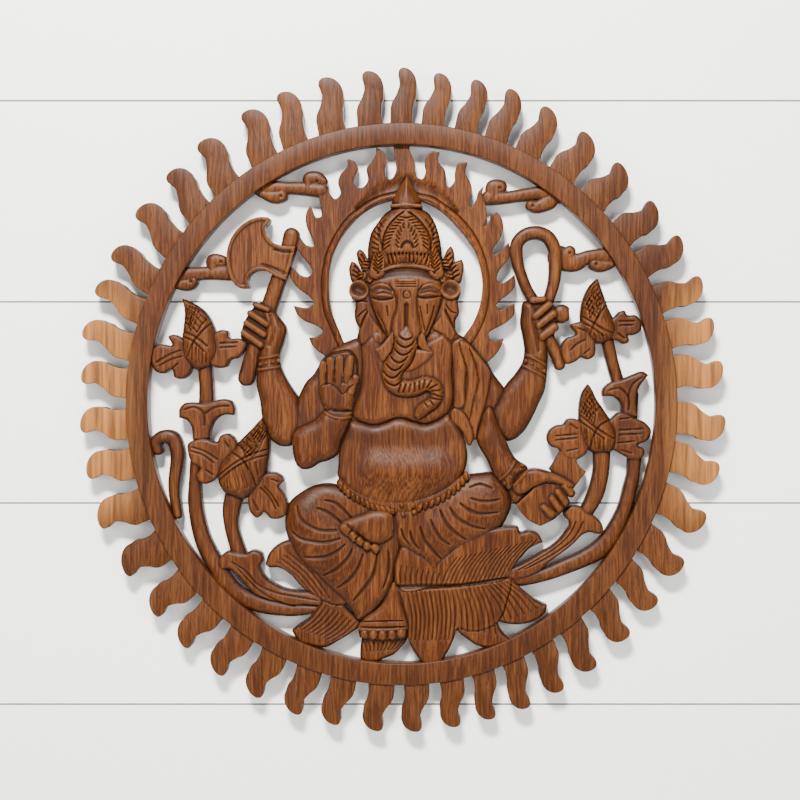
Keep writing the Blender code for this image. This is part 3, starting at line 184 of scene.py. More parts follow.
# The carving is drawn in millimetres from the middle of the ring, across and then up. A third
# number is a half width, and a fourth how far the form rises there. A point given twice is a corner.
HALO = (
    (-65.5, 35), (-71, 44), (-78.5, 49.5), (-84, 56), (-86, 61.5), (-86, 61.5), (-79.5, 62), (-73, 67),
    (-77.5, 71.5), (-89.5, 76.5), (-97, 83), (-100, 91), (-100, 91), (-94, 89.5), (-87, 89), (-81.5, 93),
    (-86, 99.5), (-95, 106), (-102.5, 115.5), (-105, 127.5), (-105, 127.5), (-100.5, 125.5), (-94, 119.5),
    (-87.5, 117.5), (-83, 121), (-85, 127.5), (-91.5, 135.5), (-97.5, 145), (-98.5, 152), (-97, 158.5),
    (-97, 158.5), (-93.5, 153), (-87.5, 146.5), (-81.5, 146), (-83, 153), (-87.5, 162.5), (-89, 171.5),
    (-87.5, 179), (-84, 183.5), (-84, 183.5), (-82.5, 178), (-79, 172.5), (-75, 173), (-75, 181),
    (-76.5, 190), (-75.5, 200.5), (-70.5, 210.5), (-70.5, 210.5), (-70, 203), (-66.5, 194.5),
    (-61.5, 189.5), (-56.5, 194.5), (-59, 204), (-56.5, 212.5), (-50.5, 219.5), (-50.5, 226.5),
    (-50.5, 226.5), (-45, 225), (-40.5, 218), (-44.5, 206), (-41.5, 200.5), (-37, 200), (-31.5, 206),
    (-32.5, 218), (-27.5, 224.5), (-24, 231.5), (-24, 237), (-24, 237), (-17.5, 233.5), (-14, 225),
    (-15.5, 215), (-14, 209), (-10, 208), (-5.5, 215), (-6.5, 227), (-7.5, 238), (-8, 246.5), (-8, 246.5),
    (7, 246.5), (7, 246.5), (7.5, 234.5), (12, 224.5), (12.5, 215), (15, 209), (18.5, 208), (22, 214),
    (21, 221.5), (23, 229), (28, 233.5), (35, 232.5), (35, 232.5), (33.5, 228), (35, 222), (39.5, 217),
    (41, 210.5), (40.5, 204), (43.5, 200.5), (48.5, 205.5), (49, 214), (52.5, 222.5), (61, 223.5),
    (61, 223.5), (59, 213), (63, 206), (65, 198.5), (62, 187.5), (64, 182), (68.5, 188.5), (70.5, 195.5),
    (76, 202), (76, 202), (74.5, 193), (77.5, 183.5), (78.5, 174.5), (76.5, 164), (80.5, 169),
    (83.5, 175.5), (88.5, 177), (88.5, 177), (92.5, 171.5), (94, 162.5), (90.5, 152), (85, 144),
    (84.5, 138.5), (89.5, 140), (93.5, 144), (99, 149.5), (99, 149.5), (100, 142), (99, 134.5),
    (93.5, 128), (89, 121), (88.5, 113.5), (92.5, 112), (98, 114.5), (104, 119.5), (104, 119.5),
    (105, 109.5), (100, 102.5), (92.5, 97), (87.5, 90.5), (90.5, 87), (97, 90), (104.5, 93), (104.5, 93),
    (104, 83), (97, 75.5), (89, 71), (80.5, 65.5), (81.5, 59.5), (88, 59), (94.5, 61), (94.5, 61),
    (92.5, 54.5), (88, 47), (80.5, 39.5), (72, 34), (72, 34), (55.5, 60.5), (55.5, 60.5), (65, 73.5),
    (72, 90.5), (74.5, 116), (72, 131), (66.5, 143), (58.5, 155), (49, 166), (40, 175.5), (28.5, 183.5),
    (17.5, 188.5), (4.5, 190.5), (-9, 189), (-20.5, 185.5), (-29.5, 181), (-38.5, 175), (-48, 165),
    (-56.5, 154), (-63, 142), (-67, 118), (-66, 91.5), (-61, 72), (-53.5, 56), (-53.5, 56), (-53.5, 35),
    (-53.5, 35),
)
HALO_EDGE = (
    (-54, 48), (-58.5, 61.5), (-63.5, 73.5), (-68, 85.5), (-70, 96), (-70.5, 105), (-70.5, 116),
    (-69, 126.5), (-66.5, 137.5), (-61.5, 149), (-55, 160.5), (-47.5, 170), (-38.5, 177.5), (-29, 184.5),
    (-19.5, 189), (-10, 191.5), (4, 193), (18, 190.5), (27.5, 188), (37, 182), (46.5, 175),
    (55, 166.5), (62, 158), (68.5, 147), (73, 135.5), (76, 124), (77.5, 111.5),
    (77, 98), (75, 85.5), (71, 74.5), (65.5, 63.5), (59, 53.5),
)
HALO_SCOOP = (
    (-40.5, 181, 4.5), (-27.5, 190, 8.5), (-13, 198.5, 11), (4, 203, 12), (20.5, 198.5, 11),
    (36, 190, 8.5), (50, 178, 4.5),
)

# Scroll links and stems, each along its middle.
SCROLLS = (
    ((-129, 199.5, 8.5), (-108, 200, 5.5), (-91.5, 199.5, 6), (-74, 197.5, 6.5)),
    ((-129, 194.5, 3.5), (-116.5, 192, 6.5), (-111.5, 193, 6)),
    ((-86.5, 199.5, 3.5), (-86, 208.5, 5.5), (-78.5, 208.5, 6.5), (-73, 206, 4.5)),
    ((-208.5, 118, 9), (-195.5, 120, 6.5), (-182, 121, 6), (-157, 121.5, 7.5)),
    ((-207, 111.5, 5.5), (-195.5, 111.5, 5.5), (-193, 113.5, 4.5)),
    ((-175.5, 125.5, 4.5), (-174.5, 132, 6.5), (-166, 132, 5.5)),
    ((146, 194.5, 8.5), (127.5, 195.5, 6), (109, 193, 5.5), (94.5, 191, 5.5), (80.5, 191, 6.5)),
    ((137, 188, 7.5), (124, 182.5, 5.5), (119.5, 183.5, 5)),
    ((85, 193, 6.5), (85, 200, 7.5), (91.5, 201, 6)),
    ((146, 135.5, 11), (160, 131, 8.5), (174, 136.5, 6), (194, 136.5, 8.5)),
    ((151.5, 134.5, 9), (155.5, 141, 5.5)),
    ((194, 129, 3.5), (183, 128, 6), (178.5, 129, 5.5)),
)
SCROLL_EYES = (
    (-111.5, 192.5), (-78.5, 206), (-195, 113.5), (-167, 131.5), (121, 183.5), (90.5, 200), (155.5, 140),
    (180, 129.5),
)
STEMS = (
    ((-80, -189.5, 3.5), (-94, -190.5, 5.5), (-112.5, -189.5, 6.5), (-132, -185.5, 7.5),
     (-155, -174, 8.5), (-173.5, -147, 8), (-184, -126, 7.5), (-189, -107.5, 7), (-191.5, -89, 6.5),
     (-191.5, -70.5, 5.5), (-191, -54, 5)),
    ((-149.5, -141.5, 7), (-154, -127.5, 6.5), (-158, -112, 6.5), (-158, -97, 8), (-155, -84.5, 8.5)),
    ((-185.5, -31.5, 8), (-185.5, -15, 8.5)),
    ((-181, -1, 7), (-181, 17.5, 6.5), (-182.5, 35, 6.5)),
    ((95.5, -163, 5), (109, -163, 5.5), (130.5, -158.5, 6), (150.5, -151, 7), (168, -143.5, 7.5),
     (183, -135, 8.5), (191.5, -126, 8), (199.5, -113, 7.5), (206.5, -96.5, 6.5), (211, -79.5, 6.5),
     (214, -66, 6), (215.5, -47.5, 6.5)),
    ((172, -98, 6.5), (179.5, -83.5, 7.5), (183, -70.5, 7.5), (185, -56.5, 7.5), (185, -44.5, 8)),
    ((211.5, -11.5, 6.5), (211.5, 8, 7.5)),
    ((201.5, 16.5, 5.5), (195, 38.5, 5.5), (190.5, 59, 5.5)),
    ((-226, -42.5, 5), (-227.5, -35.5, 5.5), (-221.5, -30.5, 6), (-213, -31.5, 6.5), (-208, -42, 6.5),
     (-208.5, -56.5, 6), (-210.5, -70.5, 5.5), (-210.5, -84.5, 5), (-207.5, -102, 4.5)),
)
STEM_LINES = (
    ((-157, -146, 0.5), (-145, -153.5, 1.5), (-133, -166.5, 1.5), (-117, -174, 1.5), (-94, -178.5, 1.5),
     (-77.5, -181.5, 0.5)),
    ((-153, -150, 0.5), (-142, -162, 1), (-129, -174, 1.5), (-112.5, -183, 1.5), (-98.5, -187, 0.5)),
    ((167.5, -108.5, 0.5), (160, -123, 1.5), (146, -135, 1.5), (132, -143.5, 1.5), (113.5, -152.5, 0.5)),
    ((161, -108.5, 0.5), (154.5, -121, 1), (140.5, -134, 1), (125.5, -143.5, 1), (107.5, -153.5, 0.5)),
)
CUPS = (
    ((-178, -31.5), (-176, -22.5), (-170.5, -13), (-163, -10), (-155, -10.5), (-155, -10.5), (-154, -4),
     (-157.5, 2.5), (-166, 4.5), (-175, 2.5), (-183.5, 0.5), (-193.5, 1.5), (-201, 0.5), (-205.5, -5),
     (-205.5, -13), (-205.5, -13), (-198.5, -15), (-194, -21.5), (-193, -33.5), (-193, -33.5)),
    ((-167, -152.5), (-169, -146), (-166, -139.5), (-160.5, -136), (-153, -137.5), (-144, -138),
     (-138.5, -135.5), (-133, -136), (-128.5, -139.5), (-128, -144), (-131, -150), (-129.5, -154.5),
     (-125.5, -160.5), (-118, -166), (-109, -170.5), (-97, -173), (-85, -174), (-73.5, -181),
     (-73.5, -184), (-89.5, -185.5), (-103, -186), (-115, -183), (-125.5, -180), (-133.5, -177),
     (-140, -172), (-146.5, -164.5), (-154, -156.5), (-160.5, -152.5)),
    ((98, -154), (109, -148.5), (118.5, -143.5), (127.5, -138), (138.5, -131.5), (146, -125),
     (151, -118.5), (155, -112.5), (154.5, -108.5), (150.5, -104.5), (149.5, -100.5), (152.5, -96),
     (158, -93.5), (164.5, -94.5), (172, -100), (180, -105), (185.5, -112), (186, -117), (183.5, -120),
     (178.5, -119.5), (173, -118.5), (167.5, -120.5), (161, -127), (151.5, -135), (139.5, -144),
     (133, -149), (127.5, -154.5), (118.5, -159), (104.5, -162.5), (93.5, -161)),
    ((185.5, 7), (185.5, 12.5), (190.5, 18.5), (205, 23.5), (214.5, 27.5), (222.5, 30), (228, 26.5),
     (228, 26.5), (220, 16.5), (216.5, 4.5), (218, -11.5), (218, -11.5), (204, -9.5), (202.5, 0.5),
     (196, 6.5), (185.5, 7)),
)
CUP_LINES = (
    ((-201, -5.5, 1), (-192, -3, 1.5), (-183.5, -7.5, 2), (-182.5, -19.5, 1)),
    ((-159.5, -2, 1), (-171.5, -3, 1.5), (-181.5, -8.5, 2)),
    ((191.5, 12.5, 1), (201.5, 14.5, 1.5), (209, 7, 1.5), (209.5, -5.5, 1)),
    ((222.5, 24.5, 1), (213.5, 18.5, 1.5), (209, 7, 1.5)),
)

# Leaves and buds, each by its outline, with the lines carved into them.
LEAVES = (
    ((-230.5, 35), (-230.5, 51.5), (-225, 55), (-212, 54.5), (-215.5, 62.5), (-210, 64), (-202, 60),
     (-193.5, 53.5), (-193.5, 35), (-196.5, 27.5), (-203, 23), (-209.5, 24.5), (-212, 32), (-221.5, 28),
     (-227.5, 30.5)),
    ((-179, 60.5), (-171.5, 66.5), (-166, 68.5), (-160.5, 67), (-159.5, 61), (-149.5, 60.5), (-143.5, 56),
     (-146.5, 48), (-152, 42.5), (-158.5, 40.5), (-161.5, 35), (-167.5, 33), (-179, 38.5)),
    ((-197.5, -44.5), (-197.5, -37), (-191, -33), (-180.5, -32.5), (-170.5, -35), (-167.5, -29.5),
     (-161.5, -27.5), (-155.5, -30.5), (-151, -41), (-158.5, -61), (-167.5, -65), (-174, -71),
     (-181.5, -74), (-187, -71.5), (-189, -65.5), (-186, -59), (-193.5, -54.5)),
    ((-142, -87), (-132.5, -68.5), (-124.5, -64), (-115, -64), (-108.5, -70.5), (-113.5, -76),
     (-108.5, -83), (-105.5, -92.5), (-107, -102.5), (-113.5, -106), (-121.5, -105.5), (-127, -100),
     (-133.5, -105.5), (-139, -101)),
    ((156, 72.5), (166.5, 76), (175.5, 72.5), (179, 54.5), (177.5, 44), (172, 41), (165.5, 43),
     (161, 39.5), (151.5, 37), (147, 44), (147, 53.5), (152.5, 61), (161, 64.5)),
    ((188.5, 75.5), (197, 81), (201.5, 85.5), (206, 86), (208, 82.5), (216, 82), (221.5, 75.5), (220, 67),
     (213.5, 63.5), (209, 63.5), (210, 58), (207, 55.5), (200.5, 58), (188.5, 64.5)),
    ((134, -33.5), (136, -25), (142.5, -20), (149.5, -18.5), (152.5, -14.5), (159, -13.5), (168, -17.5),
     (173.5, -39), (169, -47), (159, -52), (148, -48), (145, -42), (137.5, -39)),
    ((186.5, -18.5), (194, -13), (200.5, -8), (207, -8), (215, -13), (224.5, -17), (230.5, -25),
     (227, -33.5), (218, -38.5), (223.5, -41.5), (224, -47), (218, -51.5), (209, -50), (199.5, -44.5),
     (188.5, -39)),
)
VEINS = (
    ((-226, 38.5, 1.5), (-215.5, 45, 1.5), (-204.5, 49.5, 1)),
    ((-224, 35, 1), (-214, 40.5, 1.5), (-203, 44, 1)),
    ((-212, 33, 1), (-206.5, 37.5, 1)),
    ((-167, 56, 1.5), (-152, 57, 1.5)),
    ((-167, 52, 1.5), (-153, 53, 1)),
    ((-193.5, -40, 1), (-182.5, -43.5, 1.5), (-170.5, -51, 1.5)),
    ((-195.5, -43.5, 1), (-183.5, -47, 1.5), (-173.5, -54.5, 1)),
    ((-180.5, -61, 1), (-174, -65.5, 1)),
    ((-163, -34.5, 1), (-159.5, -40, 1)),
    ((-130, -77.5, 1.5), (-122.5, -85, 1.5), (-116, -97, 1)),
    ((-127, -76, 1), (-120, -84, 1.5), (-113.5, -95, 1)),
    ((-138, -88, 1), (-132.5, -98, 1.5)),
    ((-120, -69.5, 1), (-113.5, -72, 1)),
    ((156, 49.5, 1), (161.5, 55, 1.5), (169, 59, 1.5)),
    ((162.5, 70, 1), (172, 67, 1)),
    ((168, 46, 1), (173.5, 50.5, 1)),
    ((201.5, 76.5, 1.5), (215, 76.5, 1)),
    ((201.5, 72.5, 1.5), (213.5, 73, 1)),
    ((199.5, 65.5, 1), (206, 60.5, 1)),
    ((142.5, -29.5, 1), (161, -28, 1.5)),
    ((142.5, -33.5, 1), (161, -31.5, 1.5)),
    ((156, -18.5, 1), (162.5, -23, 1)),
    ((152.5, -43.5, 1), (162.5, -41.5, 1)),
    ((201.5, -24, 1.5), (222.5, -23, 1)),
    ((201.5, -28.5, 1.5), (221.5, -27.5, 1)),
    ((201.5, -14, 1), (210.5, -13, 1)),
    ((199.5, -36, 1), (214.5, -34.5, 1)),
    ((202.5, -42.5, 1), (212.5, -45.5, 1)),
)
BUDS = (
    ((-203, 97.5), (-203, 97.5), (-194.5, 94), (-185.5, 88.5), (-178, 80.5), (-173.5, 71), (-170.5, 60.5),
     (-169.5, 49.5), (-173.5, 39.5), (-180, 33), (-189, 31.5), (-197.5, 37), (-202.5, 45), (-203.5, 56),
     (-201.5, 72.5), (-200.5, 84.5)),
    ((-129.5, -13), (-129.5, -13), (-124.5, -19.5), (-123, -28.5), (-122, -39.5), (-123, -51.5),
     (-125.5, -65.5), (-131.5, -76.5), (-139.5, -84.5), (-146, -88), (-155, -86.5), (-163.5, -82),
     (-169, -73.5), (-170.5, -64.5), (-168, -54.5), (-159.5, -44), (-150.5, -35), (-139.5, -24)),
    ((181, 116), (181, 116), (175.5, 111.5), (169.5, 102), (166, 91), (165, 79), (167, 68), (173.5, 60),
     (181.5, 55.5), (191, 58), (196.5, 62.5), (198.5, 70), (195.5, 79), (191, 88.5), (187, 99.5),
     (183.5, 109.5)),
    ((172.5, 18.5), (172.5, 18.5), (167, 11), (164, -1), (163.5, -12), (163.5, -23), (166, -31.5),
     (170.5, -40.5), (175.5, -44.5), (184.5, -45.5), (193.5, -44), (198.5, -37.5), (199.5, -31.5),
     (197.5, -22), (192.5, -14), (185.5, -3.5), (180, 4.5), (176, 13)),
)
BUD_BANDS = (
    ((-202, 67, 1.5), (-191, 62.5, 1.5), (-179, 53.5, 1.5)),
    ((-203, 62.5, 1), (-192.5, 58, 1.5), (-181.5, 48, 1)),
    ((-174.5, 75.5, 1), (-182.5, 68, 1.5), (-191, 58, 1.5), (-197.5, 44, 1)),
    ((-169, -71, 1.5), (-154, -59, 1.5), (-137.5, -50.5, 1.5), (-123.5, -47, 1)),
    ((-168, -65.5, 1), (-154, -54.5, 1.5), (-137.5, -46, 1.5), (-123, -41.5, 1)),
    ((-158, -44, 1), (-147.5, -50.5, 1.5), (-139.5, -62.5, 1.5), (-134, -75.5, 1)),
    ((166, 81, 1), (177, 74.5, 1.5), (188, 68, 1.5), (197.5, 64.5, 1)),
    ((166, 75.5, 1), (176, 70, 1.5), (186.5, 62.5, 1)),
    ((189, 92, 1), (182.5, 83, 1.5), (176, 71, 1.5), (172.5, 61.5, 1)),
    ((164, -10, 1), (176, -19.5, 1.5), (188, -27.5, 1.5), (198.5, -33, 1)),
    ((164, -15.5, 1), (175.5, -24, 1.5), (186.5, -32, 1)),
    ((192.5, -14.5, 1), (182.5, -20, 1.5), (176, -31.5, 1.5), (173.5, -42.5, 1)),
)
BUD_MESH = (
    ((-198.5, 92), (-200, 75.5), (-187, 86.5), (-194.5, 68), 5),
    ((-200, 75.5), (-195.5, 90), (-188, 66), (-180, 77.5), 4),
    ((-133, -20), (-150.5, -38.5), (-124.5, -26), (-137.5, -49.5), 6),
    ((-128.5, -18.5), (-148.5, -38.5), (-124.5, -27.5), (-143, -49.5), 5),
    ((177, 108.5), (168, 88.5), (185.5, 99.5), (180, 79), 6),
    ((169.5, 95.5), (180, 110.5), (173.5, 79), (187, 95.5), 5),
    ((170.5, 12), (166, -7.5), (178, 3.5), (177, -18.5), 6),
    ((166, -2), (172.5, 13), (171.5, -14.5), (182.5, -3.5), 5),
)
BUD_STROKES = (
    (((-198.5, 53.5), (-192.5, 55), (-186.5, 50.5), (-180, 48)),
     ((-200, 46), (-193.5, 40.5), (-186.5, 37), (-180, 38.5)),
     4),
    (((-163.5, -64.5), (-156, -59), (-146.5, -55), (-134, -53.5)),
     ((-163.5, -75.5), (-150.5, -79), (-139.5, -75.5), (-132, -64.5)),
     6),
    (((170.5, 73.5), (177, 68), (184.5, 64.5), (192, 64.5)),
     ((171.5, 64.5), (179, 59), (186.5, 59), (193.5, 62.5)),
     4),
    (((168, -18.5), (175.5, -26), (184.5, -31.5), (192.5, -33)),
     ((169.5, -33), (177, -40.5), (184.5, -42.5), (192.5, -40.5)),
     5),
)

# The axe, the noose and the plate of sweets.
AXE_BLADE = (
    (-121, 170), (-128.5, 172.5), (-135.5, 171.5), (-146, 166), (-154, 158), (-159.5, 147.5),
    (-161.5, 135), (-160, 123.5), (-156, 113), (-149.5, 107), (-140, 107.5), (-140, 107.5), (-142, 114),
    (-139.5, 119.5), (-134, 123), (-128.5, 123.5), (-123, 121.5), (-115.5, 117.5), (-107, 114.5),
    (-107, 114.5), (-103.5, 125), (-100.5, 136), (-98, 145.5), (-98, 145.5), (-105.5, 145.5),
    (-112.5, 146.5), (-120, 150), (-125, 157.5), (-126, 163), (-121, 169.5),
)
AXE_LINES = (
    ((-117.5, 142.5, 1.5), (-108, 140, 1.5), (-100.5, 140, 1)),
    ((-128.5, 129, 1), (-119, 126, 1.5), (-105.5, 119.5, 1.5)),
)
AXE_HANDLE = (
    (-102, 155.5, 7.5), (-107, 136, 7), (-114.5, 114, 7), (-122, 92, 7.5), (-131, 66, 7),
    (-139.5, 40.5, 7), (-144, 24, 7.5),
)
NOOSE = (
    (123.5, 94, 5), (117.5, 103, 5), (111, 118, 5), (106.5, 135, 5.5), (107, 149, 6), (114.5, 156.5, 6),
    (124.5, 158.5, 6), (135, 154.5, 6), (141, 144.5, 6), (142, 129, 6), (140.5, 111.5, 5.5),
    (135.5, 95.5, 5),
)
NOOSE_HANDLE = ((135, 62.5, 5.5), (140.5, 51.5, 5.5), (146, 36, 5))
NOOSE_KNOB = (148, 83.5, 8.5)
PLATE_TOP = (
    (136, -60.5), (136, -60.5), (142, -51.5), (146.5, -44), (146.5, -44), (155, -45), (164, -47),
    (164, -47), (161.5, -52.5), (170.5, -62.5), (170.5, -62.5), (164, -71), (158, -79), (158, -79),
    (147.5, -72),
)
PLATE_FRONT = (
    (105.5, -93), (105.5, -93), (116.5, -83), (128.5, -71), (128.5, -71), (139.5, -73.5), (148.5, -74.5),
    (153, -83), (150.5, -95.5), (142, -105), (127.5, -112.5), (127.5, -112.5), (115.5, -106),
)

# The figure's arms and hands.
REAR_LEFT_ARM = (
    (-129.5, 90), (-119, 87.5), (-112.5, 79), (-106.5, 70), (-109, 58), (-112.5, 47), (-111, 33),
    (-104.5, 19.5), (-94.5, 3.5), (-90.5, -19.5), (-97, -35), (-103.5, -39), (-112, -39), (-121, -33),
    (-127.5, -21), (-131, 2), (-134.5, 18.5), (-134, 33), (-132, 49.5), (-128.5, 68),
)
REAR_RIGHT_ARM = (
    (112.5, 94), (119, 95.5), (128.5, 86.5), (135, 68), (135, 48), (134, 25), (132, 12), (127.5, 2),
    (120, -14), (112.5, -26), (106.5, -31.5), (98, -34.5), (89, -31.5), (81.5, -10), (89.5, 6.5),
    (97, 18.5), (105.5, 28.5), (112, 39.5), (113.5, 49.5), (112, 61.5), (109.5, 75.5), (110.5, 84.5),
)
ARM_FOLDS = (
    ((-121, 81, 3), (-118, 68, 3), (-122, 54.5, 3)), ((121, 77.5, 3), (124.5, 63.5, 3), (126.5, 49.5, 3)),
)
BANGLES = (
    ((-135, 42, 2), (-123, 43, 2), (-111, 46, 2)), ((-135, 31.5, 2), (-122, 33, 2), (-109, 35, 2)),
    ((111, 47, 2), (123.5, 41.5, 2), (136.5, 34, 2)), ((109, 37, 2), (122, 30.5, 2), (135, 24, 2)),
)
BEADS = (
    ((-130, 36.5), (-124.5, 37.5), (-119, 38.5), (-113.5, 40)),
    ((114.5, 39.5), (120, 37), (125.5, 34), (131, 30.5)),
)
LEFT_FIST = (
    (-128, 94.5), (-137.5, 88.5), (-144, 79), (-147.5, 70), (-148.5, 60.5), (-141, 55), (-132, 50),
    (-124.5, 54.5), (-123, 72.5), (-120, 84.5),
)
LEFT_FINGERS = (
    ((-135, 91.5, 2.5), (-123.5, 87, 2.5)), ((-139.5, 83.5, 3), (-124.5, 73.5, 3)),
    ((-143, 74.5, 3), (-127, 64, 3)), ((-145.5, 65.5, 3), (-130, 54.5, 3)),
)
RIGHT_FIST = (
    (118, 95.5), (127.5, 99.5), (138.5, 94), (144, 84.5), (143, 72), (139.5, 61.5), (132, 58),
    (123.5, 68), (119, 82),
)
RIGHT_FINGERS = (
    ((121, 95.5, 3), (131, 96.5, 3)), ((123.5, 81, 3.5), (135.5, 91.5, 3.5)),
    ((126.5, 72.5, 3.5), (140, 83, 3.5)), ((130, 62.5, 4), (141, 70.5, 4)),
)
SHOULDER_LEFT = (
    (-93.5, 11), (-88, 21), (-81.5, 27.5), (-78, 33.5), (-75, 39.5), (-70, 45), (-63, 51), (-52, 57),
    (-38, 60.5), (-31, 49.5), (-38, 3.5), (-52, -24), (-77, -33), (-95, -33), (-100.5, -26), (-100, -7.5),
)
SHOULDER_RIGHT = (
    (44.5, 68), (50, 66), (54.5, 63.5), (61, 60), (66.5, 54.5), (72, 46.5), (79.5, 38), (84, 29.5),
    (89.5, 22), (95, 14), (93.5, 2), (89.5, -5.5), (83.5, -10), (70.5, -22), (63, -29.5), (49, -14.5),
    (41, 22),
)
NICHE = (
    (-77, 29.5, 2), (-76, 38.5, 2), (-68.5, 45.5, 2), (-59.5, 47.5, 2), (-47.5, 48, 2), (-42.5, 42.5, 2),
    (-41, 26, 1.5),
)
PALM = (
    (-75, 18.5), (-67.5, 22), (-58.5, 22), (-51, 23), (-45.5, 26), (-40.5, 23), (-41, 14.5), (-43.5, 5.5),
    (-46, -5.5), (-46, -5.5), (-58.5, -7.5), (-70.5, -3.5), (-75, 5.5),
)
PALM_FINGERS = (
    ((-72.5, 37, 3), (-72, 16.5, 3)), ((-65.5, 40.5, 3), (-65.5, 18.5, 3.5)),
    ((-57, 42, 3), (-58, 18.5, 4)), ((-47, 42, 3), (-50.5, 22, 4)),
    ((-42.5, 24, 3), (-46.5, 11, 3.5)),
)
PALM_LINES = (
    ((-74, 16.5, 1), (-67.5, 19, 1.5), (-60.5, 15.5, 1.5), (-54, 8.5, 1)),
    ((-52, 10, 1), (-49, 14.5, 1), (-44.5, 17.5, 1)),
)
FOREARM_LEFT = (
    (-100, -26.5), (-93.5, -21), (-80, -14), (-71, -5.5), (-59.5, -5.5), (-45.5, -7.5), (-45.5, -7.5),
    (-47.5, -16.5), (-51.5, -26), (-55.5, -35), (-59.5, -47), (-66, -51.5), (-75.5, -54.5), (-84, -59.5),
    (-91.5, -60), (-96, -57), (-99.5, -48), (-100.5, -37),
)
CUFF_LEFT = (
    ((-72, -3, 2), (-62, -7.5, 2), (-45.5, -7.5, 2)), ((-70.5, -7.5, 2), (-61, -12, 2), (-47, -12.5, 2)),
)
FOREARM_RIGHT = (
    (75, -7.5), (80.5, -2), (86, -8.5), (91.5, -22), (96.5, -34), (100.5, -43), (106.5, -51.5),
    (116.5, -59), (109, -68), (98, -79), (90.5, -72), (84, -63.5), (78.5, -51.5), (72, -40.5),
    (68.5, -31.5), (71.5, -18.5),
)
CUFF_RIGHT = (
    ((105.5, -51, 2), (99, -61.5, 2), (90, -70, 2)), ((117.5, -58.5, 2), (108, -70, 2), (98, -79, 2)),
)
CUFF_BEADS = ((111, -56), (106.5, -61.5), (100.5, -67.5), (95, -73))
RIGHT_HAND = (
    (98, -77.5), (107, -68), (116.5, -60.5), (127.5, -60), (135, -64.5), (128.5, -72), (116.5, -83),
    (105.5, -93), (100.5, -88.5),
)
HAND_BACK = (
    (102.5, -77.5), (107, -66), (118, -60), (130, -60.5), (142, -65), (152.5, -70.5), (158, -75.5),
    (155, -77.5), (146.5, -74.5), (135, -72), (123.5, -75.5), (112.5, -82), (106.5, -83),
)
KNUCKLES = (
    ((150.5, -75.5, 3.5), (156, -82, 4)), ((144, -81, 3.5), (150.5, -90, 4.5)),
    ((138.5, -87.5, 3.5), (145, -95.5, 4.5)), ((131, -95, 3.5), (137.5, -101, 4.5)),
)

# The chest, its drapery and the belly.
CHEST = (
    (-43, 59), (-20, 68), (-1.5, 54.5), (35.5, 72), (50, 59), (51, 22), (48.5, -5.5), (59.5, -24),
    (35.5, -38.5), (-1.5, -42.5), (-38, -38.5), (-53, -24), (-45.5, -5.5), (-42, 22),
)
BREAST = (
    (-36.5, 56), (-27, 64.5), (-16, 54.5), (-1.5, 40.5), (26, 60.5), (39, 65.5), (46.5, 58), (47, 29.5),
    (46.5, 0), (41, -10), (32.5, -15.5), (21.5, -19), (10.5, -16.5), (2.5, -14), (-6, -14), (-15, -17.5),
    (-24.5, -20), (-36.5, -17.5), (-45, -10), (-43, 0), (-39, 13), (-37.5, 35),
)
SLEEVES = (
    ((47.5, 58), (54.5, 60.5), (59.5, 54.5), (60.5, 33), (58.5, 16.5), (56.5, -3.5), (49, -4.5),
     (48.5, 3.5), (48, 31.5)),
    ((54.5, 59), (63, 54.5), (69.5, 37), (71.5, 20), (66.5, 2), (63, -16.5), (57.5, -14.5), (58.5, 3.5),
     (60.5, 26)),
    ((63, 53.5), (73, 42.5), (81.5, 27.5), (80.5, 13), (77, -2), (72, -20), (67.5, -33), (63, -31.5),
     (62, -16.5), (66.5, 3.5), (70.5, 22)),
    ((48.5, -3.5), (57.5, -7.5), (64, -18.5), (66, -34), (63, -38.5), (55.5, -26), (44.5, -14.5)),
)
BELLY = (
    (-47.5, -16.5), (-52, -27.5), (-57.5, -44), (-58.5, -57), (-59, -65.5), (-55.5, -73.5), (-45.5, -83),
    (-33.5, -89.5), (-20, -94), (-1.5, -94), (15, -92), (28, -87.5), (41, -80.5), (54, -70), (59.5, -57),
    (60.5, -44), (57.5, -31.5), (51, -17.5), (42, -10), (32.5, -15.5), (21.5, -19), (10.5, -16.5),
    (2.5, -14), (-6, -14), (-15, -17.5), (-24.5, -20), (-36.5, -17.5),
)
BELLY_SHADE_BAND = ((-49, -26, 9), (-24.5, -29.5, 11), (5, -30.5, 11), (33.5, -28.5, 11), (54, -24, 9))
BELLY_DOME = ((-21.5, -60.5, 24), (5, -62, 26), (32.5, -60, 24))
BELT = ((-55.5, -74.5), (-47.5, -83), (-36.5, -89.5), (-25.5, -95), (-11.5, -97.5))
BELT_RIGHT = ((17, -95), (29, -90.5), (41, -84.5), (51, -76.5), (59.5, -66))
WAIST = (
    (-56.5, -72.5, 3.5), (-47.5, -81, 5.5), (-34.5, -87.5, 6.5), (-20, -92, 7.5), (-3, -94.5, 8),
    (13.5, -93, 7.5), (30, -87.5, 6.5), (44.5, -79, 5.5), (59.5, -67, 3.5),
)
KNOT = ((-8.5, -98.5), (-3, -94), (3, -92), (9.5, -93), (15, -95), (11.5, -99.5), (4, -101), (-3, -101))

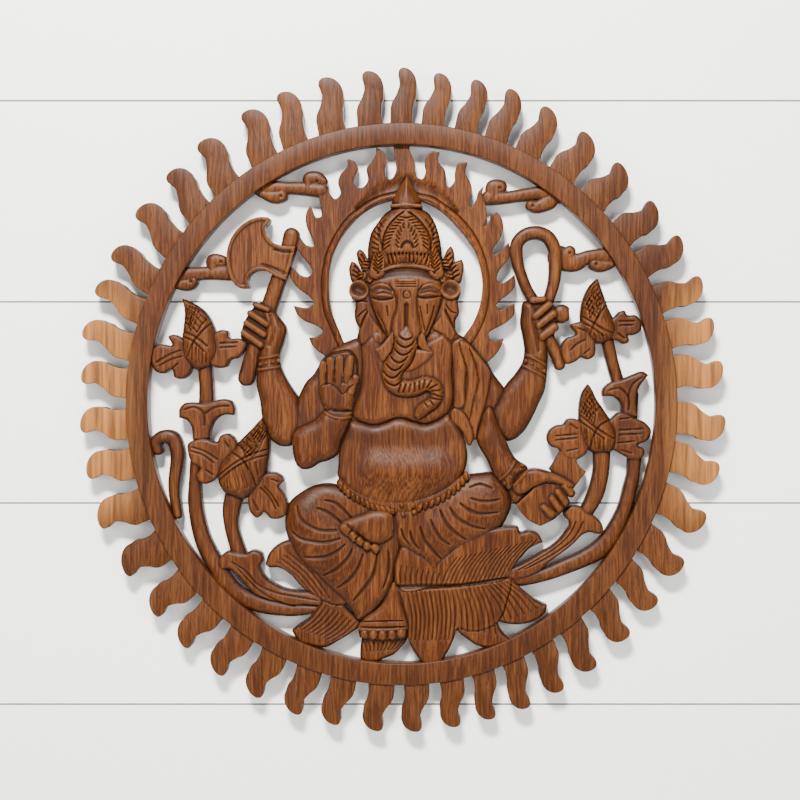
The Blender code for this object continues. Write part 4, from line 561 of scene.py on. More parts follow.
# The legs and feet.
LEG_LEFT = (
    (-56.5, -75.5), (-70.5, -73.5), (-83.5, -76.5), (-94.5, -82.5), (-103.5, -90.5), (-106.5, -99.5),
    (-108, -108.5), (-106.5, -119.5), (-104.5, -126), (-100.5, -135), (-93.5, -145.5), (-84, -154.5),
    (-78.5, -159.5), (-69.5, -168.5), (-59.5, -177.5), (-52, -185), (-45.5, -193), (-41, -200),
    (-37.5, -200.5), (-28, -195.5), (-20, -187), (-12.5, -178.5), (-8, -168.5), (-6, -157.5),
    (-4.5, -148), (-1.5, -140), (0.5, -129.5), (-7, -94), (-20, -90), (-38, -81),
)
LEG_RIGHT = (
    (59.5, -66), (72, -64), (84, -63.5), (93.5, -70), (99, -77.5), (101.5, -85.5), (101, -95), (98, -103),
    (92.5, -113), (86, -119), (75, -126), (63, -131), (49, -138), (40, -147), (31.5, -158), (31.5, -158),
    (23.5, -152), (17, -144), (8, -139.5), (0.5, -135), (-6, -129), (-9.5, -118), (-8.5, -94), (3, -91),
    (26, -84.5), (44.5, -74.5),
)
KNEES = (
    ((-86, -105, 24), (-70.5, -120.5, 27.5), (-52, -143.5, 24)),
    ((77, -88.5, 22), (55.5, -101, 26), (35.5, -116, 22)),
)
FOLDS_LEFT = (
    ((-70.5, -88.5, 1), (-61, -91, 2), (-53, -97.5, 2), (-45.5, -106, 1)),
    ((-77.5, -95.5, 1), (-69.5, -98.5, 2), (-61, -104, 2), (-54, -110.5, 1)),
    ((-96, -94, 1), (-93.5, -104, 2.5), (-85, -111.5, 2.5), (-74, -116, 2.5), (-60.5, -116, 2)),
    ((-100.5, -118, 1), (-94.5, -123, 2.5), (-83.5, -126, 2.5), (-70.5, -127, 2.5), (-56.5, -123.5, 1.5)),
    ((-89.5, -141, 1), (-78.5, -141.5, 2.5), (-67.5, -139.5, 2.5), (-58.5, -134.5, 2), (-52, -129, 1)),
    ((-72, -158, 1), (-63, -153.5, 2.5), (-54, -146.5, 2.5), (-48.5, -140, 2), (-45.5, -133.5, 1)),
    ((-59.5, -169.5, 1), (-48.5, -162, 2.5), (-40, -151, 2.5), (-35.5, -138, 1)),
    ((-44.5, -181, 1), (-34.5, -169.5, 2.5), (-26, -156.5, 2.5), (-22.5, -138, 1)),
    ((-17, -169.5, 1), (-12.5, -156.5, 2), (-11.5, -143.5, 2), (-12.5, -134.5, 1)),
)
FOLDS_RIGHT = (
    ((63, -76.5, 1), (72, -73.5, 1.5), (83.5, -77.5, 1)),
    ((64, -86.5, 1), (73, -89, 2), (82.5, -89, 2), (90.5, -87.5, 1)),
    ((54, -91, 1), (61, -96.5, 2.5), (71.5, -100.5, 2.5), (82.5, -100.5, 2), (89.5, -99.5, 1)),
    ((44.5, -95, 1), (50, -103, 2.5), (59.5, -109.5, 2.5), (68.5, -113.5, 2), (77, -115, 1)),
    ((35.5, -97.5, 1), (40, -107.5, 2.5), (48.5, -117, 2.5), (59.5, -125, 1)),
    ((27, -106.5, 1), (31, -116, 2.5), (36.5, -123.5, 2.5), (44.5, -129.5, 1)),
    ((17, -113, 1), (20.5, -123.5, 2.5), (27, -132.5, 2.5), (36.5, -142.5, 1)),
    ((8, -117, 1), (10.5, -126, 2), (16, -133.5, 1)),
    ((-0.5, -115, 1), (2.5, -123.5, 1.5), (6, -128, 1)),
)
RESTING_FOOT = (
    (-56.5, -110.5), (-46.5, -105), (-36.5, -101.5), (-24.5, -98), (-9.5, -101), (-8, -110.5),
    (-9, -122.5), (-16, -127), (-23.5, -129), (-31, -127), (-38, -121.5), (-47.5, -116),
)
RESTING_TOES = (
    ((-52, -114, 5), (-50, -116, 5)), ((-45, -120, 4), (-43.5, -122.5, 4)),
    ((-39, -125, 3.5), (-37.5, -127, 3.5)), ((-32, -129.5, 3.5), (-31.5, -131, 3.5)),
    ((-24.5, -131.5, 3.5), (-23.5, -133, 3.5)),
)
FRONT_FOOT = (
    (-7, -164.5), (-20, -187), (-36.5, -199.5), (-40, -208), (-38.5, -215.5), (-38.5, -215.5),
    (-18, -217.5), (4, -215.5), (4, -215.5), (6, -206), (4, -197), (0.5, -183),
)
ANKLE = (
    ((-37.5, -200.5, 0.5), (-18, -200, 1), (1.5, -199.5, 0.5)),
    ((-38, -205.5, 1), (-18, -206, 1.5), (4, -205, 1)),
)
TOE_BED = ((-37.5, -211.5, 3.5), (-18, -212.5, 4.5), (3, -211, 4.5))
FRONT_TOES = ((-34, -211.5, 4), (-26, -212, 4.5), (-17.5, -212.5, 4.5), (-9, -212, 4.5), (-0.5, -211, 4.5))

# The lotus seat: its petals, and the fans of fine lines along them.
PETALS = (
    ((-37, -215.5), (-38.5, -227.5), (-38, -235.5), (-23, -238.5), (-15.5, -235), (-8, -232),
     (-1.5, -226), (5, -217), (5, -209), (-37, -209)),
    ((-101.5, -209.5), (-101.5, -209.5), (-94, -203.5), (-85.5, -198), (-82, -191.5), (-75.5, -183),
     (-61.5, -179.5), (-48, -192), (-37.5, -206), (-41.5, -208), (-48, -212.5), (-57, -218),
     (-73.5, -225.5), (-85, -223.5), (-94, -221)),
    ((-126, -148), (-126, -148), (-123.5, -139.5), (-118, -132.5), (-110.5, -128), (-101.5, -126),
     (-85, -144), (-61.5, -167.5), (-48, -184), (-57, -186.5), (-73.5, -182), (-86.5, -174),
     (-94, -167.5), (-103, -157.5), (-112.5, -151.5), (-124.5, -150)),
    ((51, -209), (59.5, -216.5), (69.5, -223), (79.5, -225.5), (90.5, -223.5), (101.5, -219),
     (92.5, -210.5), (88, -199.5), (88, -186), (49, -181)),
    ((88, -199.5), (95.5, -202.5), (109, -203.5), (123, -200), (132, -193), (134.5, -186), (134.5, -186),
     (125.5, -182), (118, -177), (109, -169.5), (99, -159), (72, -162.5), (76, -181)),
    ((-4.5, -166.5), (0, -186), (4, -199.5), (6.5, -219), (11, -228), (17.5, -237.5), (22.5, -244),
     (36, -244), (39, -234.5), (44, -226), (48, -217), (52, -208), (63, -210.5), (89.5, -201.5),
     (98, -181), (101.5, -161), (72, -162.5), (26, -167.5)),
    ((0, -131.5), (-6.5, -158), (-5, -167.5), (-1.5, -172), (26, -170.5), (44.5, -169.5), (63, -168),
     (77, -166), (90.5, -164), (98, -160.5), (101.5, -152.5), (110, -142), (118.5, -133), (130.5, -127.5),
     (130.5, -127.5), (125.5, -119.5), (118.5, -117), (109, -118), (108, -114), (100, -113), (90.5, -114),
     (63, -121), (30.5, -144)),
)
FANS = (
    ((5, -174), (8.5, -218), (46.5, -171), (47, -218), 11),
    ((50, -171), (55.5, -209), (74, -168), (87, -212.5), 7),
    ((77.5, -168), (96, -201.5), (100, -163.5), (130.5, -186.5), 7),
    ((36, -169), (51, -141.5), (99, -160), (125, -125), 17),
    ((-1, -166.5), (0, -149), (32.5, -168), (35, -156), 8),
    ((-73.5, -184), (-95, -207), (-42.5, -201.5), (-64.5, -219), 9),
    ((-35, -220), (-32, -229), (0, -219), (-7, -227.5), 9),
    ((-105, -137), (-66.5, -179.5), (-115, -146), (-83, -175.5), 4),
)
RIB = ((-2.5, -169, 4), (21.5, -168.5, 4), (49, -167.5, 3), (77, -164, 2.5), (98, -160, 1.5))

# The head, its ears, crown and trunk.
CROWN = (
    (5, 212), (5, 212), (10.5, 200.5), (18, 187.5), (18.5, 181), (24.5, 176.5), (30.5, 168), (34, 158),
    (36, 149), (37, 138), (35.5, 118.5), (5, 114), (-27, 118.5), (-31.5, 137), (-30.5, 150), (-28, 159),
    (-22, 168), (-16, 175.5), (-9.5, 181), (-9, 187.5), (-2.5, 199.5),
)
COLLAR = ((-9, 182.5, 1.5), (-2.5, 183, 2), (4, 183.5, 2), (10.5, 183, 2), (17.5, 182.5, 1.5))
COLLAR_LINE = ((-12.5, 179, 1), (-4, 180, 1), (4, 180, 1), (12.5, 180, 1), (20.5, 179, 1))
EAR_FOLDS = (
    ((-41, 94, 0.5), (-36.5, 95, 1), (-31.5, 94, 0.5)),
    ((-41, 80, 0.5), (-37.5, 83.5, 1), (-32.5, 87.5, 0.5)),
    ((-31.5, 85.5, 0.5), (-35.5, 77.5, 1.5), (-38.5, 69, 1)),
    ((41, 92, 0.5), (45.5, 85.5, 1), (51, 83.5, 0.5)),
    ((40, 87.5, 0.5), (44.5, 78, 1.5), (49, 67, 1)),
)
CROWN_PANEL = (
    (4, 178.5), (4, 178.5), (10.5, 173), (18, 164.5), (23.5, 155.5), (25.5, 147), (25, 141), (4.5, 139),
    (-16, 141), (-16, 148), (-13.5, 157.5), (-8, 166.5), (-1.5, 174),
)
PANEL_EDGE = (
    ((2.5, 173), (-4, 166.5), (-9.5, 159), (-13, 151), (-13.5, 142.5)),
    ((6, 173), (13, 166.5), (18.5, 159), (22, 151), (22, 142.5)),
)
PANEL_INNER = (
    ((3, 165.5), (-1, 160), (-3.5, 152.5), (-4, 143.5)),
    ((5.5, 165.5), (9.5, 160), (13, 152.5), (14, 143.5)),
)
PANEL_OUTLINE = (
    ((1.5, 176.5, 1), (-5, 172, 1), (-12.5, 163, 1), (-16.5, 153.5, 1), (-17.5, 141.5, 1)),
    ((7, 176.5, 1), (13.5, 172, 1), (20.5, 164, 1), (26, 154.5, 1), (27, 141.5, 1)),
)
SIDE_CRESCENTS = (
    ((-15, 170, 1), (-20, 164, 2), (-21, 157.5, 2), (-20, 151, 2), (-17, 145.5, 1)),
    ((22.5, 170, 1), (27, 164, 2), (29.5, 158, 2), (29, 152, 2), (27, 147, 1)),
)
LEAFLET_GAPS = ((-13.5, 133), (-5, 135), (5, 135), (15, 135), (25.5, 133))
CRESCENT = ((0, 144, 1.5), (2, 147.5, 2), (5.5, 149, 2.5), (9, 147.5, 2), (11, 144, 1.5))
CROWN_SIDES = (
    ((-18, 167.5), (-22.5, 158), (-24.5, 147), (-23.5, 136), (-21.5, 127)),
    ((26, 167.5), (31, 158), (32, 148), (31.5, 138), (30, 129)),
)
LEAFLETS = ((-13.5, 130.5), (-5, 133), (5, 134), (15, 133), (24.5, 130))
HEADBAND = ((-19, 122, 2), (-8, 126, 2.5), (5, 127.5, 2.5), (18, 126, 2.5), (29, 123, 2))
FOREHEAD = ((-23.5, 117, 4.5), (-9.5, 120.5, 5.5), (5, 121.5, 6), (20, 120.5, 5.5), (32.5, 117, 4.5))
CROWN_LEAVES = (
    ((-29, 130.5), (-32.5, 136), (-35.5, 141), (-39, 143), (-39, 143), (-41.5, 140), (-41, 134.5),
     (-39, 128), (-33.5, 121.5)),
    ((-36.5, 121.5), (-40, 127), (-43, 130.5), (-46.5, 131.5), (-46.5, 131.5), (-48.5, 126), (-48, 118.5),
     (-45.5, 112), (-36.5, 110.5), (-27, 114), (-29, 125)),
    ((35.5, 130.5), (39, 136), (42, 142.5), (45.5, 146), (45.5, 146), (48, 141.5), (48.5, 135),
     (46.5, 128), (41, 123.5)),
    ((43, 121.5), (46.5, 129), (50, 131.5), (55.5, 133.5), (55.5, 133.5), (57.5, 128), (56.5, 120.5),
     (54, 112), (46.5, 110.5), (35.5, 114), (36.5, 125)),
)
LEAF_STROKES = (
    (((-34.5, 137), (-39, 130.5), (-42, 123.5), (-43.5, 116)), 1.2),
    (((-31, 132.5), (-34.5, 127), (-37.5, 120.5), (-38, 114)), 2.0),
    (((42, 139), (45.5, 131.5), (49, 124), (51, 116)), 1.9),
    (((38, 134.5), (42, 127), (44.5, 120.5), (45.5, 114)), 1.1),
    (((-20.5, 143.5), (-23.5, 136), (-24.5, 129), (-23.5, 121.5)), 0.7),
    (((-18, 141.5), (-19, 134.5), (-20, 127), (-20, 120.5)), 2.4),
    (((30, 144.5), (32.5, 137), (33.5, 129), (32.5, 121.5)), 2.4),
    (((27, 141.5), (28, 134.5), (29, 127), (29, 120.5)), 0.7),
)
NEAR_LEAVES = (
    ((-29, 117), (-28, 128), (-25, 138), (-20, 146.5), (-20, 146.5), (-16, 139), (-14.5, 129),
     (-16, 118.5), (-22.5, 115)),
    ((38, 117), (37.5, 128), (34, 138), (30.5, 147), (30.5, 147), (26, 140), (24.5, 129.5), (26, 118.5),
     (31.5, 115)),
)
ROSETTES = ((-35.5, 118.5, 4), (-29, 115, 3.5), (38, 115, 3.5), (44.5, 118.5, 4))
EARS = (
    ((-42, 113), (-46.5, 109.5), (-48.5, 104), (-46.5, 98), (-43, 94.5), (-43, 89), (-43.5, 84.5),
     (-43.5, 80), (-42, 74.5), (-39.5, 71), (-40.5, 64.5), (-42, 57), (-25.5, 57), (-14.5, 62.5),
     (-20, 75.5), (-27, 95.5), (-29, 112)),
    ((50, 113), (54, 108.5), (54.5, 102), (52, 95.5), (52.5, 90), (53, 83.5), (50, 78), (49.5, 72.5),
     (50, 68), (53, 61.5), (49, 55), (35.5, 57), (24.5, 64.5), (30, 79), (35.5, 95.5), (37.5, 111.5)),
)
EAR_CUPS = ((-39.5, 105, 9), (45, 105.5, 9))
EAR_FLAPS = (
    ((-31, 84.5), (-23.5, 75.5), (-16, 62.5), (-27, 55), (-37.5, 55), (-39.5, 64.5), (-36.5, 75.5)),
    ((38, 86.5), (44.5, 77.5), (50, 64.5), (46.5, 57), (35.5, 64.5), (28, 70), (33.5, 79)),
)
HEAD = (
    (-30, 108.5), (-25.5, 116), (-15, 122.5), (5, 126), (24.5, 122.5), (34.5, 116), (38, 106.5),
    (36.5, 95.5), (32.5, 83), (28, 70), (22.5, 60.5), (12.5, 53.5), (-3, 53.5), (-12.5, 60.5),
    (-20, 73.5), (-26, 88.5), (-29.5, 99.5),
)
BRIDGE = (
    (-5, 113), (-7, 106), (-4, 97.5), (-4.5, 88.5), (-7, 77.5), (-8.5, 67), (-5, 58), (3, 54.5),
    (11.5, 57), (17, 65.5), (16, 75.5), (14.5, 88.5), (14.5, 97.5), (15.5, 106), (14.5, 113), (4, 115),
)
BRIDGE_LINES = (
    ((-11.5, 110.5, 0.5), (-7.5, 104, 1), (-5, 95.5, 1.5), (-5.5, 86.5, 1.5), (-8.5, 76.5, 1.5),
     (-10, 67, 1.5), (-7, 59, 0.5)),
    ((20, 110.5, 0.5), (16, 104, 1), (14.5, 95.5, 1.5), (15, 86.5, 1.5), (17, 76.5, 1.5), (18.5, 66, 1.5),
     (15, 58, 0.5)),
)
BROW_LINES = (
    ((-30, 107.5, 0.5), (-24.5, 110.5, 1), (-17, 111, 1.5), (-10.5, 108.5, 1), (-7, 104, 0.5)),
    ((15, 104, 0.5), (19, 108.5, 1), (25.5, 111, 1.5), (32.5, 110, 1), (38, 106.5, 0.5)),
)
EYE_HOLLOWS = (
    ((-27, 104, 3.5), (-19, 106, 4.5), (-10.5, 104, 3.5)),
    ((18, 104, 3.5), (26, 106, 4.5), (34.5, 104, 3.5)),
)
EYE_LIDS = (
    ((-24.5, 100, 2.5), (-16, 100.5, 3.5), (-9.5, 99.5, 2.5)),
    ((18, 100.5, 2.5), (25.5, 102, 3.5), (31.5, 101, 2.5)),
)
EYE_SLITS = (
    ((-28, 98, 0.5), (-21.5, 96, 1.5), (-14.5, 96, 1.5), (-7.5, 97.5, 0.5)),
    ((14.5, 98.5, 0.5), (20.5, 97.5, 1.5), (28, 98, 1.5), (36.5, 99.5, 0.5)),
    ((-24.5, 101, 0.5), (-17, 103, 1), (-9.5, 101, 0.5)),
    ((18, 102, 0.5), (25.5, 104, 1), (32.5, 102.5, 0.5)),
)
CHEEK_LINES = (
    ((-28, 92, 0.5), (-24.5, 82, 1.5), (-20, 72, 1.5), (-14.5, 61.5, 1)),
    ((-22.5, 84.5, 0.5), (-17, 74.5, 1), (-13.5, 64.5, 0.5)),
    ((36.5, 93, 0.5), (33.5, 82, 1.5), (29, 72, 1.5), (23.5, 60.5, 1)),
    ((30, 90, 0.5), (27.5, 79, 1), (22.5, 66, 0.5)),
    ((17, 90, 0.5), (19, 79, 1), (21.5, 68, 0.5)),
    ((-13.5, 90, 0.5), (-12.5, 81, 0.5)),
    ((23.5, 92, 0.5), (24, 83, 0.5)),
)
NOSTRIL_PADS = ((-22.5, 60, 8), (31.5, 59, 7.5))
LIP = (
    (11.5, 49.5), (20.5, 49.5), (29.5, 48), (27, 42.5), (20.5, 37), (12.5, 32), (4, 30.5), (0.5, 35),
    (5, 44),
)
TUSK = (
    (-25, 50), (-25, 50), (-18, 54.5), (-11.5, 62.5), (-8.5, 67), (-5, 57), (-5, 48), (-9.5, 42.5),
    (-18, 39), (-22.5, 46),
)
TUSK_RIGHT = ((29, 48), (29, 48), (23.5, 54.5), (19, 65.5), (14.5, 60.5), (16, 53.5), (20.5, 49.5))
TRUNK = (
    (4.5, 66, 8.5, -2.5), (4, 60.5, 11, -0.5), (3, 52.5, 11, 0), (0, 43, 11, 0), (-6.5, 35, 10.5, 0),
    (-9, 26, 9.5, 0), (-6, 17.5, 8.5, 0),
    (2.5, 14.5, 8.5, 0), (12.5, 15, 8, 0), (22.5, 18.5, 7.5, 0), (30, 16, 7, 0), (32.5, 9, 6, 0),
    (29.5, 2, 6, 0), (22.5, -3, 6, 0), (18, -7, 6, -0.5), (15.5, -10, 4, -1),
)
TRUNK_RINGS = (
    (4.5, 61, 8.5), (3.5, 54, 8.5), (2, 47, 8.5), (-2, 40, 8), (-6, 33, 8), (-8.5, 26, 8), (-7, 19, 8.5),
)
TRUNK_TICKS = (
    (-4, 14.5), (2.5, 14.5), (8.5, 14.5), (15, 16.5), (21.5, 18.5), (28, 17.5), (32.5, 12), (32.5, 5.5),
)
TIP_LINES = (
    ((24.5, 6.5, 0.5), (30, 5, 1.5), (36.5, 4, 0.5)), ((14.5, 0, 0.5), (18, 3.5, 1), (23.5, 4.5, 0.5)),
    ((20.5, 2, 0.5), (24.5, -3, 1)), ((26, 3.5, 0.5), (30, -1, 1)),
)
TILAK = (
    ((-4.5, 112.5, 1), (13.5, 112.5, 1)), ((-4.5, 110.5, 1), (13.5, 110.5, 1)),
    ((-4.5, 108, 1), (13.5, 108, 1)),
)
BINDI = (5, 100.5, 3.5)
TRUNK_SLOT = ((4.5, 91, 3), (4.5, 70, 3))


def smooth(points, closed=False, spans=5):
    """Points along a smooth curve through the given rows. A row given twice makes a corner."""
    rows = np.array(points, float)
    count = len(rows)
    if closed:
        ahead = np.roll(rows, -1, 0)
        behind = np.roll(rows, 1, 0)
    else:
        ahead = np.vstack((rows[1:], rows[-1:]))
        behind = np.vstack((rows[:1], rows[:-1]))
    reach = np.linalg.norm((ahead - rows)[:, :2], axis=1)[:, None] + 1e-6
    trail = np.linalg.norm((rows - behind)[:, :2], axis=1)[:, None] + 1e-6
    slope = ((ahead - rows) / reach * trail + (rows - behind) / trail * reach) / (reach + trail)
    line = []
    for i in range(count if closed else count - 1):
        j = (i + 1) % count
        if reach[i, 0] < 1e-5:
            continue
        for t in np.arange(spans) / spans:
            a = 2 * t**3 - 3 * t**2 + 1
            b = t**3 - 2 * t**2 + t
            line.append(a * rows[i] + b * reach[i] * slope[i]
                        + (1 - a) * rows[j] + (t**3 - t**2) * reach[i] * slope[j])
    if not closed:
        line.append(rows[-1])
    return np.array(line)


def metres(rows):
    """Rows of millimetres as rows of metres."""
    return [tuple(value * MM for value in row) for row in rows]


def dot(x, z, size):
    """A line so short that a form along it is round."""
    return [(x, z, size), (x, z - STEP_MM, size)]


def soft_edge(rise):
    """How much of its fall a rounded edge has left, at a share of the way in from the edge."""
    rise = np.clip(rise, 0, 1)
    return 1 - np.sqrt(rise * (2 - rise))


class Relief:
    """A height map of one piece: how far inside its outline each point lies, and how far it stands out."""

    def __init__(self, name, *shapes):
        corners = np.array([point[:2] for shape in shapes for point in shape])
        reach = max([point[2] for shape in shapes for point in shape if len(point) > 2], default=0)
        first = np.floor(((corners.min(0) - reach) * MM + HALF_SPAN) / GRID).astype(int) - 3
        last = np.ceil(((corners.max(0) + reach) * MM + HALF_SPAN) / GRID).astype(int) + 4
        self.name = name
        self.first = first
        self.across = np.arange(first[0], last[0]) * GRID - HALF_SPAN
        self.up = np.arange(first[1], last[1]) * GRID - HALF_SPAN
        self.inside = np.full((len(self.up), len(self.across)), -1.0)
        self.height = np.zeros_like(self.inside)
        # Painted shade laid along lines, as the share by which the wood is darkened.
        self.oiled = np.zeros_like(self.inside)

    def window(self, low, high, margin):
        """The part of the map between two corners and a margin past them, with its places."""
        columns = np.searchsorted(self.across, (low[0] - margin, high[0] + margin))
        rows = np.searchsorted(self.up, (low[1] - margin, high[1] + margin))
        part = (slice(*rows), slice(*columns))
        x, z = np.meshgrid(self.across[part[1]], self.up[part[0]])
        return part, x, z

    def lay(self, part, inside, height, over=False):
        """Add one form. Where forms overlap the higher one shows, or the new one if it lies over."""
        old_inside = self.inside[part]
        old_height = self.height[part]
        new = (inside > 0) & (old_inside <= 0)
        both = (inside > 0) & (old_inside > 0)
        near = (inside <= 0) & (inside > old_inside)
        merged = np.where(new | near, height, old_height)
        shown = height if over else np.maximum(height, old_height)
        self.height[part] = np.where(both, shown, merged)
        self.inside[part] = np.maximum(inside, old_inside)

    def to_line(self, line, margin):
        """How far each point near a line is inside its half width, and that width and lift there."""
        reach = line[:, 2].max() + margin
        part, x, z = self.window(line[:, :2].min(0), line[:, :2].max(0), reach)
        best = np.full(x.shape, -1.0)
        extra = np.zeros(x.shape + (2,))
        extra[..., 0] = line[0, 2]
        for start, end in zip(line[:-1], line[1:]):
            run = end - start
            t = ((x - start[0]) * run[0] + (z - start[1]) * run[1]) / (run[0]**2 + run[1]**2 + 1e-12)
            t = np.clip(t, 0, 1)
            half = start[2] + run[2] * t
            inside = half - np.hypot(x - start[0] - run[0] * t, z - start[1] - run[1] * t)
            closer = inside > best
            best = np.where(closer, inside, best)
            extra[closer, 0] = half[closer]
            if len(run) > 3:
                extra[closer, 1] = (start[3] + run[3] * t)[closer]
        return part, best, extra[..., 0], extra[..., 1]

    def limb(self, rows, top, fall, over=False):
        """A rounded form along a line: it stands at top on its line and falls away to its edge."""
        part, inside, width, lift = self.to_line(smooth(metres(rows)), 3 * GRID)
        self.lay(part, inside, top + lift - fall * soft_edge(inside / width), over)

    def knob(self, x, z, size, top, fall, over=False):
        """A rounded form round a point."""
        self.limb(dot(x, z, size), top, fall, over)

    def patch(self, points, top, edge, fall, over=False, rim=None, sunk=0.001):
        """A form with its own outline: flat at top, rounded over along its edge, sunk inside a rim."""
        line = smooth(metres(points), closed=True)
        part, x, z = self.window(line.min(0), line.max(0), 3 * GRID)
        gap = np.full(x.shape, 1.0)
        odd = np.zeros(x.shape, bool)
        for start, end in zip(line, np.roll(line, -1, 0)):
            run = end - start
            t = ((x - start[0]) * run[0] + (z - start[1]) * run[1]) / (run @ run + 1e-12)
            t = np.clip(t, 0, 1)
            gap = np.minimum(gap, np.hypot(x - start[0] - run[0] * t, z - start[1] - run[1] * t))
            if run[1] != 0:
                crosses = (start[1] > z) != (end[1] > z)
                odd ^= crosses & (x < start[0] + (z - start[1]) * run[0] / run[1])
        inside = np.where(odd, gap, -gap)
        height = top - fall * soft_edge(inside / edge)
        if rim:
            height = height - sunk * np.clip((inside - rim) / GRID, 0, 1)
        self.lay(part, inside, height, over)

    def swell(self, rows, rise):
        """Raise what is there already in a soft mound along a line, or sink it if rise is below 0."""
        part, inside, width, _ = self.to_line(smooth(metres(rows)), 0)
        share = np.clip(inside / width, 0, 1)
        self.height[part] += rise * share**2 * (3 - 2 * share) * (self.inside[part] > 0)

    def shade_band(self, rows, share):
        """Paint shade softly along a line, darkening the wood by a share."""
        part, inside, width, _ = self.to_line(smooth(metres(rows)), 0)
        self.oiled[part] = np.maximum(self.oiled[part], share * np.clip(2 * inside / width, 0, 1))

    def grooves(self, lines, depth):
        """Cut a soft groove of each line's own width."""
        for rows in lines:
            self.swell([row[:2] + (max(row[2], NARROWEST),) for row in rows], -depth)

    def fan(self, start, bow_start, end, bow_end, count, half, depth):
        """Fine lines from one edge to another: where the first and the last begin and end."""
        for share in np.linspace(0, 1, count):
            a = np.array(start) * (1 - share) + np.array(end) * share
            b = np.array(bow_start) * (1 - share) + np.array(bow_end) * share
            middle = (a + b) / 2 + np.array((a[1] - b[1], b[0] - a[0])) * FAN_BOW
            self.grooves([[(*a, half * 0.6), (*middle, half), (*b, half * 0.6)]], depth)

    def strokes(self, path, count, length, turn, half, depth):
        """Short strokes across a path, each turned from the path's own direction."""
        for place, along in spaced(path, count):
            way = np.array((math.cos(turn) * along[0] - math.sin(turn) * along[1],
                            math.sin(turn) * along[0] + math.cos(turn) * along[1])) * length / 2
            self.grooves([[(*(place - way), half), (*(place + way), half)]], depth)


def spaced(path, count):
    """Evenly spaced places along a smooth path, each with the path's direction there."""
    line = smooth(path)[:, :2]
    run = np.diff(line, axis=0)
    length = np.hypot(*run.T)
    total = np.concatenate(([0], np.cumsum(length)))
    for share in (np.arange(count) + 0.5) / count:
        span = min(int(np.searchsorted(total, share * total[-1], side="right")) - 1, len(run) - 1)
        part = (share * total[-1] - total[span]) / length[span]
        yield line[span] + run[span] * part, run[span] / length[span]


def blurred(values, radius):
    """The mean of a map over a square of that many cells each way, done twice so that it is soft."""
    for _ in range(2):
        for axis in (0, 1):
            edges = [(radius + 1, radius) if number == axis else (0, 0) for number in (0, 1)]
            total = np.cumsum(np.pad(values, edges), axis=axis)
            size = values.shape[axis]
            high = np.take(total, np.arange(size) + 2 * radius + 1, axis=axis)
            low = np.take(total, np.arange(size), axis=axis)
            values = (high - low) / (2 * radius + 1)
    return values


# The faces of one square of a map, for each way its corners lie inside the outline. Numbers
# 0 to 3 are its corners, anticlockwise from the lower left, and 4 to 7 the crossings after each.
SQUARE_FACES = {
    1: ((0, 4, 7),), 2: ((1, 5, 4),), 3: ((0, 1, 5, 7),), 4: ((2, 6, 5),), 5: ((0, 4, 7), (2, 6, 5)),
    6: ((1, 2, 6, 4),), 7: ((0, 1, 2, 6, 7),), 8: ((3, 7, 6),), 9: ((0, 4, 6, 3),),
    10: ((1, 5, 4), (3, 7, 6)), 11: ((0, 1, 5, 6, 3),), 12: ((2, 3, 7, 5),), 13: ((0, 4, 5, 2, 3),),
    14: ((1, 2, 3, 7, 4),), 15: ((0, 1, 2, 3),),
}


def front_faces(relief):
    """The front of a piece as points (across, up, height) and triangles, trimmed at the outline."""
    inside = relief.inside
    rows, columns = inside.shape
    x, z = np.meshgrid(relief.across, relief.up)
    points = [np.stack((x, z, relief.height), -1).reshape(-1, 3)]
    ids = np.arange(rows * columns).reshape(rows, columns)

    def crossings(a, b):
        start, end = ids[a].ravel(), ids[b].ravel()
        first, last = inside.ravel()[start], inside.ravel()[end]
        gap = first - last
        share = np.clip(first / np.where(gap == 0, 1, gap), 0.06, 0.94)[:, None]
        place = points[0][start] * (1 - share) + points[0][end] * share
        place[:, 2] = np.where(first > 0, points[0][start][:, 2], points[0][end][:, 2])
        return place

    across_first = rows * columns
    points.append(crossings((slice(None), slice(None, -1)), (slice(None), slice(1, None))))
    up_first = across_first + len(points[1])
    points.append(crossings((slice(None, -1), slice(None)), (slice(1, None), slice(None))))
    flat = np.arange(rows * (columns - 1)).reshape(rows, -1) + across_first
    steep = np.arange((rows - 1) * columns).reshape(-1, columns) + up_first
    corner = (ids[:-1, :-1], ids[:-1, 1:], ids[1:, 1:], ids[1:, :-1],
              flat[:-1], steep[:, 1:], flat[1:], steep[:, :-1])
    solid = inside > 0
    kind = solid[:-1, :-1] + 2 * solid[:-1, 1:] + 4 * solid[1:, 1:] + 8 * solid[1:, :-1]
    triangles = []
    for number, faces in SQUARE_FACES.items():
        here = kind == number
        for face in faces:
            loop = [corner[k][here] for k in face]
            for second, third in zip(loop[1:-1], loop[2:]):
                triangles.append(np.stack((loop[0], second, third), -1))
    triangles = np.vstack(triangles)
    used, where = np.unique(triangles, return_inverse=True)
    return np.vstack(points)[used], where.reshape(-1, 3)


def rims(triangles):
    """The outline and the rims of the openings, each as a loop of point numbers with the wood on its left."""
    edges = np.vstack((triangles[:, (0, 1)], triangles[:, (1, 2)], triangles[:, (2, 0)])).tolist()
    seen = {tuple(edge) for edge in edges}
    follows = {a: b for a, b in edges if (b, a) not in seen}
    loops = []
    while follows:
        start, point = follows.popitem()
        loop = [start]
        while point != start:
            loop.append(point)
            point = follows.pop(point)
        loops.append(loop)
    return loops


